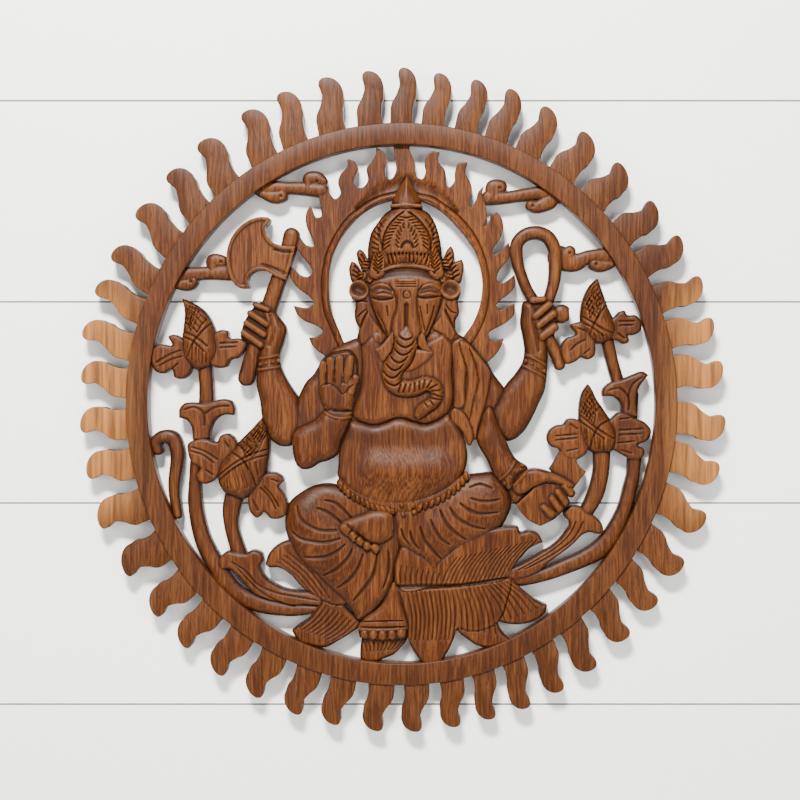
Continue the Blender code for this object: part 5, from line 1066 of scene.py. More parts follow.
def back_faces(places, loops):
    """Triangles that fill the flat back between the rims."""
    rim = {(a, b) for loop in loops for a, b in zip(loop, loop[1:] + loop[:1])}
    found = delaunay_2d_cdt([Vector(place) for place in places.tolist()], sorted(rim), [], 0, 1e-9)
    faces = [tuple(face) for face in found[2]]
    beside = {}
    for number, face in enumerate(faces):
        for edge in zip(face, face[1:] + face[:1]):
            beside[edge] = number
    waiting = [beside[edge] for edge in rim if edge in beside]
    kept = set(waiting)
    while waiting:
        face = faces[waiting.pop()]
        for a, b in zip(face, face[1:] + face[:1]):
            other = beside.get((b, a))
            if (a, b) not in rim and other is not None and other not in kept:
                kept.add(other)
                waiting.append(other)
    return [faces[number] for number in sorted(kept)]


def rides(piece, material):
    """Give a finished piece its finish and its place on the panel."""
    piece.data.materials.clear()
    piece.data.materials.append(material)
    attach(piece, "root")
    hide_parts("carved_panel")
    return piece


def store(mesh, name, values):
    """Keep one value for each point of a mesh, for the finish to read."""
    layer = mesh.attributes.new(name, "FLOAT", "POINT")
    layer.data.foreach_set("value", np.asarray(values, np.float32))


def build_piece(relief, hollows, material, back):
    """A closed solid from a height map, with painted shade in its hollows, on its slopes, down its sides and
    on its back, and its high edges lightened as wear and painted highlight.
    """
    points, triangles = front_faces(relief)
    loops = rims(triangles)
    edge_ids = np.array([point for loop in loops for point in loop])
    numbered = []
    first = 0
    for loop in loops:
        numbered.append(list(range(first, first + len(loop))))
        first += len(loop)
    edge = points[edge_ids]
    behind = len(points)
    faces = triangles.tolist()
    faces += [(behind + a, behind + c, behind + b) for a, b, c in back_faces(edge[:, :2], numbered)]
    for loop, low in zip(loops, numbered):
        for i in range(len(loop)):
            j = (i + 1) % len(loop)
            faces.append((loop[j], loop[i], behind + low[i], behind + low[j]))
    vertices = np.vstack((points, edge))
    depth = vertices[:, 2].copy()
    depth[behind:] = back
    cells = len(hollows[0])
    column, row = np.clip(np.rint((vertices[:, :2] + HALF_SPAN) / GRID).astype(int), 0, cells - 1).T
    mesh = bpy.data.meshes.new(relief.name)
    mesh.from_pydata(np.stack((vertices[:, 0], -depth, vertices[:, 1]), -1).tolist(), [], faces)
    mesh.polygons.foreach_set("use_smooth", np.ones(len(mesh.polygons), bool))
    mesh.set_sharp_from_angle(angle=math.radians(62))
    fine, broad = (values[row, column] for values in hollows)
    # Painted shade in hollows: the further a point lies below the mean height round it, the darker it is
    # painted.
    hollow = np.clip((fine - vertices[:, 2]) / FINE_HOLLOW, 0, 1) * 0.8
    hollow += np.clip((broad - vertices[:, 2]) / BROAD_HOLLOW, 0, 1) * 0.6
    # High edges are painted lighter, partly as wear and partly as painted highlight.
    raised = np.clip((vertices[:, 2] - fine) / FINE_HOLLOW, 0, 1)
    # Painted shade on steep slopes, added to the painted shade laid along lines.
    steep = np.hypot(*np.gradient(blurred(relief.height, 1), GRID)) / STEEPEST
    dark = np.clip(np.minimum(steep, STEEP_SHARE) + relief.oiled, 0, 1)
    dark = dark[row - relief.first[1], column - relief.first[0]]
    # Painted shade down each side wall, from none at the front to BACK_DARK at the back; the back itself also
    # gets the hollow shade at BACK_DARK.
    cut = np.zeros(len(vertices))
    cut[behind:] = BACK_DARK
    hollow[behind:] = BACK_DARK
    raised[behind:] = 0
    dark[behind:] = 0
    store(mesh, "hollow", np.clip(hollow, 0, 1))
    store(mesh, "raised", raised)
    store(mesh, "oiled", dark)
    store(mesh, "cut", cut)
    piece = bpy.data.objects.new(relief.name, mesh)
    bpy.context.collection.objects.link(piece)
    return rides(piece, material)


def carve_halo():
    """The plate of flames behind the head, hollowed along its border."""
    halo = Relief("halo", HALO)
    halo.patch(HALO, HALO_TOP, EASED, EASED)
    halo.swell(HALO_SCOOP, -0.0022)
    middle = np.array(HALO_MIDDLE)
    line = []
    for x, z in HALO_EDGE:
        away = np.array((x, z)) - middle
        line.append((*(np.array((x, z)) + away / np.hypot(*away) * HALO_BORDER), 1.0))
    halo.grooves([line], DEEP_LINE)
    yield halo


def carve_plants():
    """The scroll links to the ring, the stems and cups, the leaves and the lotus buds."""
    scrolls = Relief("scroll_links", *SCROLLS)
    for rows in SCROLLS:
        scrolls.limb(rows, SCROLL_TOP, 0.003)
    for x, z in SCROLL_EYES:
        scrolls.swell(dot(x, z, 2.2), -0.0015)
    yield scrolls
    stems = Relief("stems", *STEMS, *CUPS)
    for rows in STEMS:
        stems.limb(rows, STEM_TOP, 0.004)
    for points in CUPS:
        stems.patch(points, CUP_TOP, *CARVED_EDGE)
    stems.grooves(STEM_LINES + CUP_LINES, DEEP_LINE)
    yield stems
    leaves = Relief("leaves", *LEAVES)
    for points in LEAVES:
        leaves.patch(points, LEAF_TOP, *LOW_EDGE)
    leaves.grooves(VEINS, DEEP_LINE)
    yield leaves
    buds = Relief("lotus_buds", *BUDS)
    for points in BUDS:
        buds.patch(points, BUD_TOP, *BUD_EDGE)
    for fan in BUD_MESH:
        start, bow_start, end, bow_end, count = fan
        buds.fan(*fan, 0.95, THIN_LINE)
        buds.fan(start, end, bow_start, bow_end, count, 0.95, THIN_LINE)
    buds.grooves(BUD_BANDS, CUT_LINE)
    for tops, feet, count in BUD_STROKES:
        tops = smooth(tops)
        feet = smooth(feet)
        for share in np.linspace(0, 1, count * 2 - 1):
            number = int(round(share * (len(tops) - 1)))
            buds.grooves([[(*tops[number], 1.0), (*feet[number], 0.8)]], HAIR_LINE)
    yield buds


def carve_weapons():
    """The axe and the noose."""
    handle = Relief("axe_handle", AXE_HANDLE)
    handle.limb(AXE_HANDLE, AXE_HANDLE_TOP, 0.004)
    yield handle
    blade = Relief("axe_blade", AXE_BLADE)
    blade.patch(AXE_BLADE, AXE_BLADE_TOP, EASED, EASED, rim=0.0028, sunk=0.0012)
    blade.grooves(AXE_LINES, DEEP_LINE)
    yield blade
    noose = Relief("noose", NOOSE, NOOSE_HANDLE)
    noose.limb(NOOSE, NOOSE_TOP, 0.004)
    noose.limb(NOOSE_HANDLE, NOOSE_TOP, 0.004)
    noose.knob(*NOOSE_KNOB, NOOSE_TOP, 0.004)
    yield noose


def carve_seat():
    """The lotus seat, petal over petal, with fine lines fanned along each."""
    seat = Relief("lotus_seat", *PETALS)
    for number, points in enumerate(PETALS):
        seat.patch(points, PETAL_TOP + PETAL_STEP * number, *CARVED_EDGE, over=True)
    for fan in FANS:
        seat.fan(*fan, 1.25, 0.0011)
    seat.grooves([RIB], GOUGED)
    yield seat


def carve_rear_arms():
    """The two raised arms with their bangles, each gripping what it holds."""
    for name, arm, fist, fingers in (("rear_left_arm", REAR_LEFT_ARM, LEFT_FIST, LEFT_FINGERS),
                                     ("rear_right_arm", REAR_RIGHT_ARM, RIGHT_FIST, RIGHT_FINGERS)):
        relief = Relief(name, arm, fist)
        relief.patch(arm, REAR_ARM_TOP, 0.011, 0.008)
        relief.patch(fist, FIST_TOP, *ROUND_EDGE)
        for rows in fingers:
            relief.limb(rows, FIST_FINGER_TOP, 0.003)
        for rows in BANGLES:
            relief.swell(rows, 0.0016)
        relief.grooves(ARM_FOLDS, DEEP_LINE)
        yield relief


def carve_torso():
    """The chest with its shoulders and sleeves, the cloth over it, and the belly."""
    chest = Relief("chest", CHEST, SHOULDER_LEFT, SHOULDER_RIGHT, *SLEEVES)
    chest.patch(CHEST, CHEST_TOP, *ROUND_EDGE)
    chest.patch(SHOULDER_RIGHT, RIGHT_SHOULDER_TOP, *SHOULDER_EDGE)
    chest.patch(SHOULDER_LEFT, LEFT_SHOULDER_TOP, *SHOULDER_EDGE)
    for points in SLEEVES:
        chest.patch(points, SLEEVE_TOP, *LOW_EDGE, over=True)
    chest.grooves([NICHE], LEAF_CUT)
    yield chest
    breast = Relief("breast_cloth", BREAST)
    breast.patch(BREAST, BREAST_TOP, 0.007, 0.006)
    yield breast
    belly = Relief("belly", BELLY, WAIST)
    belly.patch(BELLY, BELLY_TOP, 0.009, 0.005)
    belly.swell(BELLY_DOME, 0.0042)
    # Painted shade along the top of the belly, under the edge of the chest.
    belly.shade_band(BELLY_SHADE_BAND, 0.5)
    belly.limb(WAIST, WAIST_TOP, 0.003)
    yield belly


def carve_legs():
    """The folded legs with their creases, and the two feet."""
    for name, points, knee, folds in (("left_leg", LEG_LEFT, KNEES[0], FOLDS_LEFT),
                                      ("right_leg", LEG_RIGHT, KNEES[1], FOLDS_RIGHT)):
        leg = Relief(name, points)
        leg.patch(points, LEG_TOP, *LEG_EDGE)
        leg.swell(knee, 0.0035)
        leg.grooves(folds, 0.0017)
        yield leg
    feet = Relief("feet", RESTING_FOOT, FRONT_FOOT, *RESTING_TOES)
    feet.patch(FRONT_FOOT, FRONT_FOOT_TOP, *HAND_EDGE)
    feet.grooves(ANKLE, 0.002)
    feet.grooves([TOE_BED], 0.0035)
    for x, z, size in FRONT_TOES:
        feet.knob(x, z, size, FRONT_TOE_TOP, 0.003)
    feet.patch(RESTING_FOOT, RESTING_FOOT_TOP, 0.009, 0.005)
    for rows in RESTING_TOES:
        feet.limb(rows, RESTING_TOE_TOP, 0.004, over=True)
    yield feet


def carve_front_arms():
    """The blessing hand, and the hand that holds the plate of sweets."""
    left = Relief("front_left_arm", FOREARM_LEFT, PALM, *PALM_FINGERS)
    left.patch(FOREARM_LEFT, LEFT_ARM_TOP, *ARM_EDGE)
    left.patch(PALM, PALM_TOP, *HAND_EDGE)
    for rows in PALM_FINGERS:
        left.limb(rows, PALM_FINGER_TOP, 0.0025)
    left.grooves(PALM_LINES, THIN_LINE)
    for rows in CUFF_LEFT:
        left.swell(rows, 0.0014)
    yield left
    plate = Relief("sweets_plate", PLATE_TOP, PLATE_FRONT)
    plate.patch(PLATE_TOP, PLATE_BACK_TOP, EASED, EASED)
    plate.patch(PLATE_FRONT, PLATE_FRONT_TOP, EASED, EASED)
    yield plate
    right = Relief("front_right_arm", FOREARM_RIGHT, RIGHT_HAND, HAND_BACK, *KNUCKLES)
    right.patch(FOREARM_RIGHT, RIGHT_ARM_TOP, *ARM_EDGE)
    right.patch(RIGHT_HAND, RIGHT_HAND_TOP, *HAND_EDGE)
    right.patch(HAND_BACK, RIGHT_ARM_TOP, 0.005, 0.004)
    for rows in KNUCKLES:
        right.limb(rows, RIGHT_ARM_TOP, 0.005)
    for rows in CUFF_RIGHT:
        right.swell(rows, 0.0014)
    yield right


def carve_head():
    """The ears, the crown and its leaves, the face, and the trunk with the tusks."""
    ears = Relief("ears", *EARS)
    for points in EARS:
        ears.patch(points, EAR_TOP, *ROUND_EDGE)
    for points in EAR_FLAPS:
        ears.patch(points, EAR_FLAP_TOP, *FLAT_EDGE)
    for x, z, size in EAR_CUPS:
        ears.knob(x, z, size, EAR_CUP_TOP, 0.002)
        cup = [(x - size * 0.2, z + size * 0.15, size * 0.95), (x + size * 0.2, z, size * 0.95)]
        ears.swell(cup, -0.0050)
    ears.grooves(EAR_FOLDS, CUT_LINE)
    yield ears
    leaves = Relief("crown_leaves", *CROWN_LEAVES, *NEAR_LEAVES, ROSETTES)
    for points in CROWN_LEAVES:
        leaves.patch(points, CROWN_LEAF_TOP, *FLAT_EDGE)
    for x, z, size in ROSETTES:
        leaves.knob(x, z, size, ROSETTE_TOP, 0.004)
        leaves.swell(dot(x, z, size * 0.5), -0.0015)
    for points in NEAR_LEAVES:
        leaves.patch(points, NEAR_LEAF_TOP, *FLAT_EDGE, over=True)
    for path, turn in LEAF_STROKES:
        leaves.strokes(path, 6, 5.5, turn, 1.1, BOLD_CUT)
    yield leaves
    crown = Relief("crown", CROWN)
    crown.patch(CROWN, CROWN_TOP, 0.013, 0.009)
    crown.limb(COLLAR, COLLAR_TOP, 0.002, over=True)
    crown.grooves([COLLAR_LINE], THIN_LINE)
    crown.patch(CROWN_PANEL, CROWN_PANEL_TOP, 0.003, 0.0015)
    crown.grooves(PANEL_OUTLINE, BOLD_CUT)
    crown.grooves(SIDE_CRESCENTS, CUT_LINE)
    for path, turn in zip(PANEL_EDGE, (-0.9, 0.9)):
        crown.strokes(path, 10, 6, turn, 1.0, LEAF_CUT)
    for path, turn in zip(PANEL_INNER, (0.8, -0.8)):
        crown.strokes(path, 6, 4.5, turn, 0.9, DEEP_LINE)
    for path, turn in zip(CROWN_SIDES, (1.1, -1.1)):
        crown.strokes(path, 9, 6, turn, 1.0, LEAF_CUT)
    crown.grooves([CRESCENT], BOLD_CUT)
    crown.strokes(LEAFLET_GAPS, 12, 9, math.pi / 2, 0.9, BOLD_CUT)
    yield crown
    head = Relief("face", HEAD)
    head.patch(HEAD, FACE_TOP, 0.012, 0.006)
    for rows in EYE_HOLLOWS:
        head.swell(rows, -CUT_LINE)
    for rows in EYE_LIDS:
        head.swell(rows, LID_RISE)
    head.grooves(EYE_SLITS, CUT_LINE)
    head.grooves(BROW_LINES, 0.0009)
    head.grooves(CHEEK_LINES, CUT_LINE)
    head.limb(HEADBAND, HEADBAND_TOP, 0.003, over=True)
    head.swell(FOREHEAD, -HAIR_LINE)
    # Painted shade along the forehead, under the headband.
    head.shade_band(FOREHEAD, 1.0)
    head.patch(BRIDGE, BRIDGE_TOP, 0.004, 0.002)
    head.grooves(BRIDGE_LINES, HAIR_LINE)
    head.grooves(TILAK, 0.0011)
    head.grooves([TRUNK_SLOT], GOUGED)
    x, z, size = BINDI
    turns = np.linspace(0, 2 * math.pi, 13)
    circle = [(x + size * math.cos(turn), z + size * math.sin(turn), 0.8) for turn in turns]
    head.grooves([circle], THIN_LINE)
    for x, z, size in NOSTRIL_PADS:
        head.knob(x, z, size, NOSTRIL_TOP, 0.003)
    yield head
    trunk = Relief("trunk", TRUNK, LIP, TUSK, TUSK_RIGHT)
    trunk.patch(LIP, LIP_TOP, 0.003, 0.002)
    trunk.patch(TUSK, LIP_TOP, 0.003, 0.002)
    trunk.patch(TUSK_RIGHT, FAR_TUSK_TOP, 0.003, 0.002)
    trunk.limb(TRUNK, TRUNK_TOP, 0.007, over=True)
    for x, z, half in TRUNK_RINGS:
        fold = [(x - half, z + 4, 0.9), (x - half * 0.5, z - 0.5, 1.3), (x, z - 2, 1.5),
                (x + half * 0.5, z - 0.5, 1.3), (x + half, z + 4, 0.9)]
        trunk.grooves([fold], BOLD_CUT)
    trunk.strokes(TRUNK_TICKS, 10, 8, 1.25, 1.1, LEAF_CUT)
    trunk.grooves(TIP_LINES, LEAF_CUT)
    yield trunk


def put(tree, kind, links=(), **settings):
    """A node with its settings, and its inputs linked or set by name or number."""
    node = tree.nodes.new(kind)
    for name, value in settings.items():
        setattr(node, name, value)
    for socket, value in dict(links).items():
        if isinstance(value, bpy.types.NodeSocket):
            tree.links.new(value, node.inputs[socket])
        else:
            node.inputs[socket].default_value = value
    return node


def math_node(tree, operation, *values):
    """What one sum of linked or plain values comes to."""
    return put(tree, "ShaderNodeMath", dict(enumerate(values)), operation=operation).outputs[0]


def new_tree(name, sockets):
    """A geometry node tree with a geometry output and the named inputs."""
    tree = bpy.data.node_groups.new(name, "GeometryNodeTree")
    tree.interface.new_socket("Geometry", in_out="OUTPUT", socket_type="NodeSocketGeometry")
    for socket, kind in sockets.items():
        tree.interface.new_socket(socket, in_out="INPUT", socket_type="NodeSocket" + kind)
    return tree, tree.nodes.new("NodeGroupInput").outputs


def finish_tree(tree, geometry, material):
    """Make the instances real, give them their finish, and end the tree."""
    real = put(tree, "GeometryNodeRealizeInstances", {0: geometry})
    named = put(tree, "GeometryNodeSetMaterial", {"Geometry": real.outputs[0], "Material": material})
    put(tree, "NodeGroupOutput", {0: named.outputs[0]})


def grown(name, tree, values, points=(), edges=(), attributes=()):
    """What a tree makes from the points and values, as a plain mesh."""
    start = bpy.data.meshes.new(name + "_start")
    start.from_pydata(list(points), list(edges), [])
    for key, column in dict(attributes).items():
        store(start, key, column)
    holder = bpy.data.objects.new(name + "_start", start)
    bpy.context.collection.objects.link(holder)
    modifier = holder.modifiers.new("Grow", "NODES")
    modifier.node_group = tree
    for item in tree.interface.items_tree:
        if item.in_out == "INPUT" and item.name in values:
            modifier[item.identifier] = values[item.name]
    shown = holder.evaluated_get(bpy.context.evaluated_depsgraph_get())
    mesh = bpy.data.meshes.new_from_object(shown)
    mesh.name = name
    holder.modifiers.remove(modifier)
    bpy.data.objects.remove(holder)
    mesh.polygons.foreach_set("use_smooth", np.ones(len(mesh.polygons), bool))
    mesh.set_sharp_from_angle(angle=math.radians(50))
    piece = bpy.data.objects.new(name, mesh)
    bpy.context.collection.objects.link(piece)
    return piece


def ring_tree():
    """A flat band with eased edges, swept along an oval and stood upright with its back on the wall."""
    tree, given = new_tree("swept_ring", {
        "Half Width": "Float", "Half Height": "Float", "Band": "Float", "Depth": "Float", "Ease": "Float",
        "Material": "Material"})
    circle = put(tree, "GeometryNodeCurvePrimitiveCircle", {"Resolution": 720, "Radius": 1.0})
    oval = put(tree, "ShaderNodeCombineXYZ", {0: given["Half Width"], 1: given["Half Height"], 2: 1.0})
    place = put(tree, "GeometryNodeInputPosition")
    spread = put(tree, "ShaderNodeVectorMath", {0: place.outputs[0], 1: oval.outputs[0]},
                 operation="MULTIPLY").outputs[0]
    line = put(tree, "GeometryNodeSetPosition", {"Geometry": circle.outputs[0], "Position": spread})
    level = put(tree, "GeometryNodeSetCurveNormal", {0: line.outputs[0]}, mode="Z_UP")
    section = put(tree, "GeometryNodeCurvePrimitiveQuadrilateral", {0: given["Depth"], 1: given["Band"]})
    eased = put(tree, "GeometryNodeFilletCurve",
                {"Curve": section.outputs[0], "Radius": given["Ease"], "Count": 3, "Limit Radius": True},
                mode="POLY")
    swept = put(tree, "GeometryNodeCurveToMesh", {0: level.outputs[0], 1: eased.outputs[0]})
    behind = math_node(tree, "MULTIPLY", given["Depth"], -0.5)
    shift = put(tree, "ShaderNodeCombineXYZ", {1: behind})
    upright = put(tree, "GeometryNodeTransform", {
        "Geometry": swept.outputs[0], "Translation": shift.outputs[0], "Rotation": (math.pi / 2, 0, 0)})
    finish_tree(tree, upright.outputs[0], given["Material"])
    return tree


def rays_tree():
    """One ray set at every tip, each bent round the ring by its own spacing, lean and length."""
    tree, given = new_tree("rays_round_ring", {
        "Tips": "Geometry", "Ray": "Object", "Half Width": "Float", "Half Height": "Float", "Foot": "Float",
        "Material": "Material"})
    one = put(tree, "GeometryNodeObjectInfo", {"Object": given["Ray"]})
    many = put(tree, "GeometryNodeInstanceOnPoints", {
        "Points": given["Tips"], "Instance": one.outputs["Geometry"]})
    real = put(tree, "GeometryNodeRealizeInstances", {0: many.outputs[0]})
    facts = {}
    for key in ("tip", "spread", "lean", "length"):
        facts[key] = put(tree, "GeometryNodeInputNamedAttribute", {"Name": key}).outputs["Attribute"]
    place = put(tree, "GeometryNodeInputPosition")
    share = put(tree, "ShaderNodeSeparateXYZ", {0: place.outputs[0]}).outputs
    left = math_node(tree, "SUBTRACT", 1.0, share[1])
    leant = math_node(tree, "MULTIPLY_ADD", facts["lean"], left, facts["tip"])
    turn = math_node(tree, "MULTIPLY_ADD", facts["spread"], share[0], leant)
    reach = math_node(tree, "MULTIPLY_ADD", facts["length"], share[1], given["Foot"])
    across = math_node(tree, "ADD", given["Half Width"], reach)
    upwards = math_node(tree, "ADD", given["Half Height"], reach)
    x = math_node(tree, "MULTIPLY", across, math_node(tree, "COSINE", turn))
    z = math_node(tree, "MULTIPLY", upwards, math_node(tree, "SINE", turn))
    there = put(tree, "ShaderNodeCombineXYZ", {0: x, 1: math_node(tree, "MULTIPLY", share[2], -1.0), 2: z})
    bent = put(tree, "GeometryNodeSetPosition", {"Geometry": real.outputs[0], "Position": there.outputs[0]})
    finish_tree(tree, bent.outputs[0], given["Material"])
    return tree


def cord_tree():
    """A round bead along a line."""
    tree, given = new_tree("bead_along_line", {"Line": "Geometry", "Radius": "Float", "Material": "Material"})
    line = put(tree, "GeometryNodeMeshToCurve", {0: given["Line"]})
    section = put(tree, "GeometryNodeCurvePrimitiveCircle", {"Resolution": 12, "Radius": given["Radius"]})
    swept = put(tree, "GeometryNodeCurveToMesh", {
        0: line.outputs[0], 1: section.outputs[0], "Fill Caps": True})
    finish_tree(tree, swept.outputs[0], given["Material"])
    return tree


def beads_tree():
    """Equal beads along a line, each turned from the line's direction."""
    tree, given = new_tree("beads_along_line", {
        "Line": "Geometry", "Count": "Int", "Size": "Vector", "Turn": "Float", "Material": "Material"})
    line = put(tree, "GeometryNodeMeshToCurve", {0: given["Line"]})
    even = put(tree, "GeometryNodeResampleCurve", {"Curve": line.outputs[0], "Count": given["Count"]})
    ball = put(tree, "GeometryNodeMeshUVSphere", {"Segments": 14, "Rings": 9, "Radius": 1.0})
    bead = put(tree, "GeometryNodeTransform", {"Geometry": ball.outputs[0], "Scale": given["Size"]})
    along = put(tree, "GeometryNodeInputTangent")
    facing = put(tree, "FunctionNodeAlignRotationToVector", {"Vector": along.outputs[0]},
                 axis="X", pivot_axis="Y")
    angle = put(tree, "ShaderNodeCombineXYZ", {1: given["Turn"]})
    turned = put(tree, "FunctionNodeRotateRotation", {0: facing.outputs[0], 1: angle.outputs[0]},
                 rotation_space="GLOBAL")
    many = put(tree, "GeometryNodeInstanceOnPoints", {
        "Points": even.outputs[0], "Instance": bead.outputs[0], "Rotation": turned.outputs[0]})
    finish_tree(tree, many.outputs[0], given["Material"])
    return tree


def line_points(rows, depth):
    """A smooth line in front of the wall, with the edges between its points."""
    line = smooth(metres(rows))
    points = [(x, -depth, z) for x, z in line[:, :2].tolist()]
    return points, [(number, number + 1) for number in range(len(points) - 1)]


def ray_form(material):
    """One ray as shares of its spacing and length: across, along, and its depth in metres."""
    left = [(sway - width / 2, along) for along, sway, width in RAY_SHAPE]
    right = [(sway + width / 2, along) for along, sway, width in RAY_SHAPE]
    line = smooth(right + left[::-1], closed=True, spans=4)
    unit = np.array((RAY_SPACING, RAYS[0][1] * MM))
    ahead = (np.roll(line, -1, 0) - np.roll(line, 1, 0)) * unit
    inward = np.stack((-ahead[:, 1], ahead[:, 0]), -1) / np.linalg.norm(ahead, axis=1)[:, None]
    # The last number of each level is its painted shade: full at the back, less up the side, none on the
    # face.
    levels = [(0, 0.0, 1.0), (0, RAY_DEPTH * 0.5, 0.8), (0, RAY_DEPTH - EASED, 0.3)]
    for step in (0.33, 0.67, 1.0):
        turn = step * math.pi / 2
        levels.append((EASED * (1 - math.cos(turn)), RAY_DEPTH - EASED * (1 - math.sin(turn)), 0))
    vertices = []
    cut = []
    for inset, depth, share in levels:
        vertices += [(x, z, depth) for x, z in (line + inward * inset / unit).tolist()]
        cut += [share] * len(line)
    count = len(line)
    faces = []
    for level in range(len(levels) - 1):
        for i in range(count):
            j = (i + 1) % count
            low = level * count
            faces.append((low + i, low + j, low + count + j, low + count + i))
    top = (len(levels) - 1) * count
    faces.append(tuple(range(top, top + count)))
    faces.append(tuple(range(count))[::-1])
    mesh = bpy.data.meshes.new("ray_form")
    mesh.from_pydata(vertices, [], faces)
    mesh.flip_normals()
    mesh.materials.append(material)
    store(mesh, "cut", cut)
    form = bpy.data.objects.new("ray_form", mesh)
    bpy.context.collection.objects.link(form)
    return form


def build_frame(ring_wood, ray_wood):
    """The ring, and the rays that are grown round it from one ray's form."""
    middle = (OPENING[0] + RING_WIDTH / 2, OPENING[1] + RING_WIDTH / 2)
    ring = grown("ring", ring_tree(), {
        "Half Width": middle[0], "Half Height": middle[1], "Band": RING_WIDTH, "Depth": RING_DEPTH,
        "Ease": RING_EASE, "Material": ring_wood})
    rides(ring, ring_wood)
    count = len(RAYS)
    tips = np.radians([tip for tip, _ in RAYS])
    length = [long * MM for _, long in RAYS]
    spread = [(tips[(i + 1) % count] - tips[i - 1]) % (2 * math.pi) / 2 for i in range(count)]
    lean = np.radians(0.6 - 1.2 * np.sin(2 * tips))
    form = ray_form(ray_wood)
    rays = grown("rays", rays_tree(), {
        "Ray": form, "Half Width": OPENING[0], "Half Height": OPENING[1], "Foot": RING_WIDTH,
        "Material": ray_wood}, points=[(0, 0, 0)] * count,
        attributes={"tip": tips, "spread": spread, "lean": lean, "length": length})
    bpy.data.objects.remove(form)
    rides(rays, ray_wood)


def build_trims(wood):
    """The small repeated forms: the halo's bead, the rope belt and the rows of beads."""
    points, edges = line_points(HALO_EDGE, 0.0104)
    rides(grown("halo_bead", cord_tree(), {"Radius": 0.0030, "Material": wood}, points, edges), wood)
    beads = beads_tree()
    rows = (
        ("belt_left", BELT, 0.0200, 11, (0.0046, 0.0028, 0.0024), 0.75),
        ("belt_right", BELT_RIGHT, 0.0205, 10, (0.0046, 0.0028, 0.0024), -0.75),
        ("belt_knot", KNOT + KNOT[:1], 0.0205, 6, (0.0030, 0.0026, 0.0024), 0.9),
        ("crown_leaflets", LEAFLETS, 0.0200, 11, (0.0015, 0.0018, 0.0040), 0.0),
        ("left_bangle_beads", BEADS[0], 0.0180, 4, (0.0018, 0.0014, 0.0018), 0.8),
        ("right_bangle_beads", BEADS[1], 0.0180, 4, (0.0018, 0.0014, 0.0018), 0.8),
        ("cuff_beads", CUFF_BEADS, 0.0215, 4, (0.0020, 0.0014, 0.0020), 0.8),
    )
    for name, line, depth, count, size, turn in rows:
        points, edges = line_points(line, depth)
        values = {"Count": count, "Size": size, "Turn": turn, "Material": wood}
        rides(grown(name, beads, values, points, edges), wood)


def build_reliefs(wood):
    """Carve every relief piece, and work out from the whole panel's height where shade is painted into its
    hollows.
    """
    carvers = (carve_halo, carve_plants, carve_weapons, carve_seat, carve_rear_arms, carve_torso, carve_legs,
               carve_front_arms, carve_head)
    reliefs = [relief for carve in carvers for relief in carve()]
    cells = int(round(2 * HALF_SPAN / GRID)) + 1
    whole = np.zeros((cells, cells))
    for relief in reliefs:
        x, z = relief.first
        rows, columns = relief.inside.shape
        part = (slice(z, z + rows), slice(x, x + columns))
        whole[part] = np.maximum(whole[part], np.where(relief.inside > 0, relief.height, 0))
    solid = (whole > 0).astype(float)
    hollows = []
    for radius in (2, 7):
        hollows.append(blurred(whole, radius) / np.maximum(blurred(solid, radius), 0.05))
    for number, relief in enumerate(reliefs):
        build_piece(relief, hollows, wood, BACK_STEP * (number % 8))


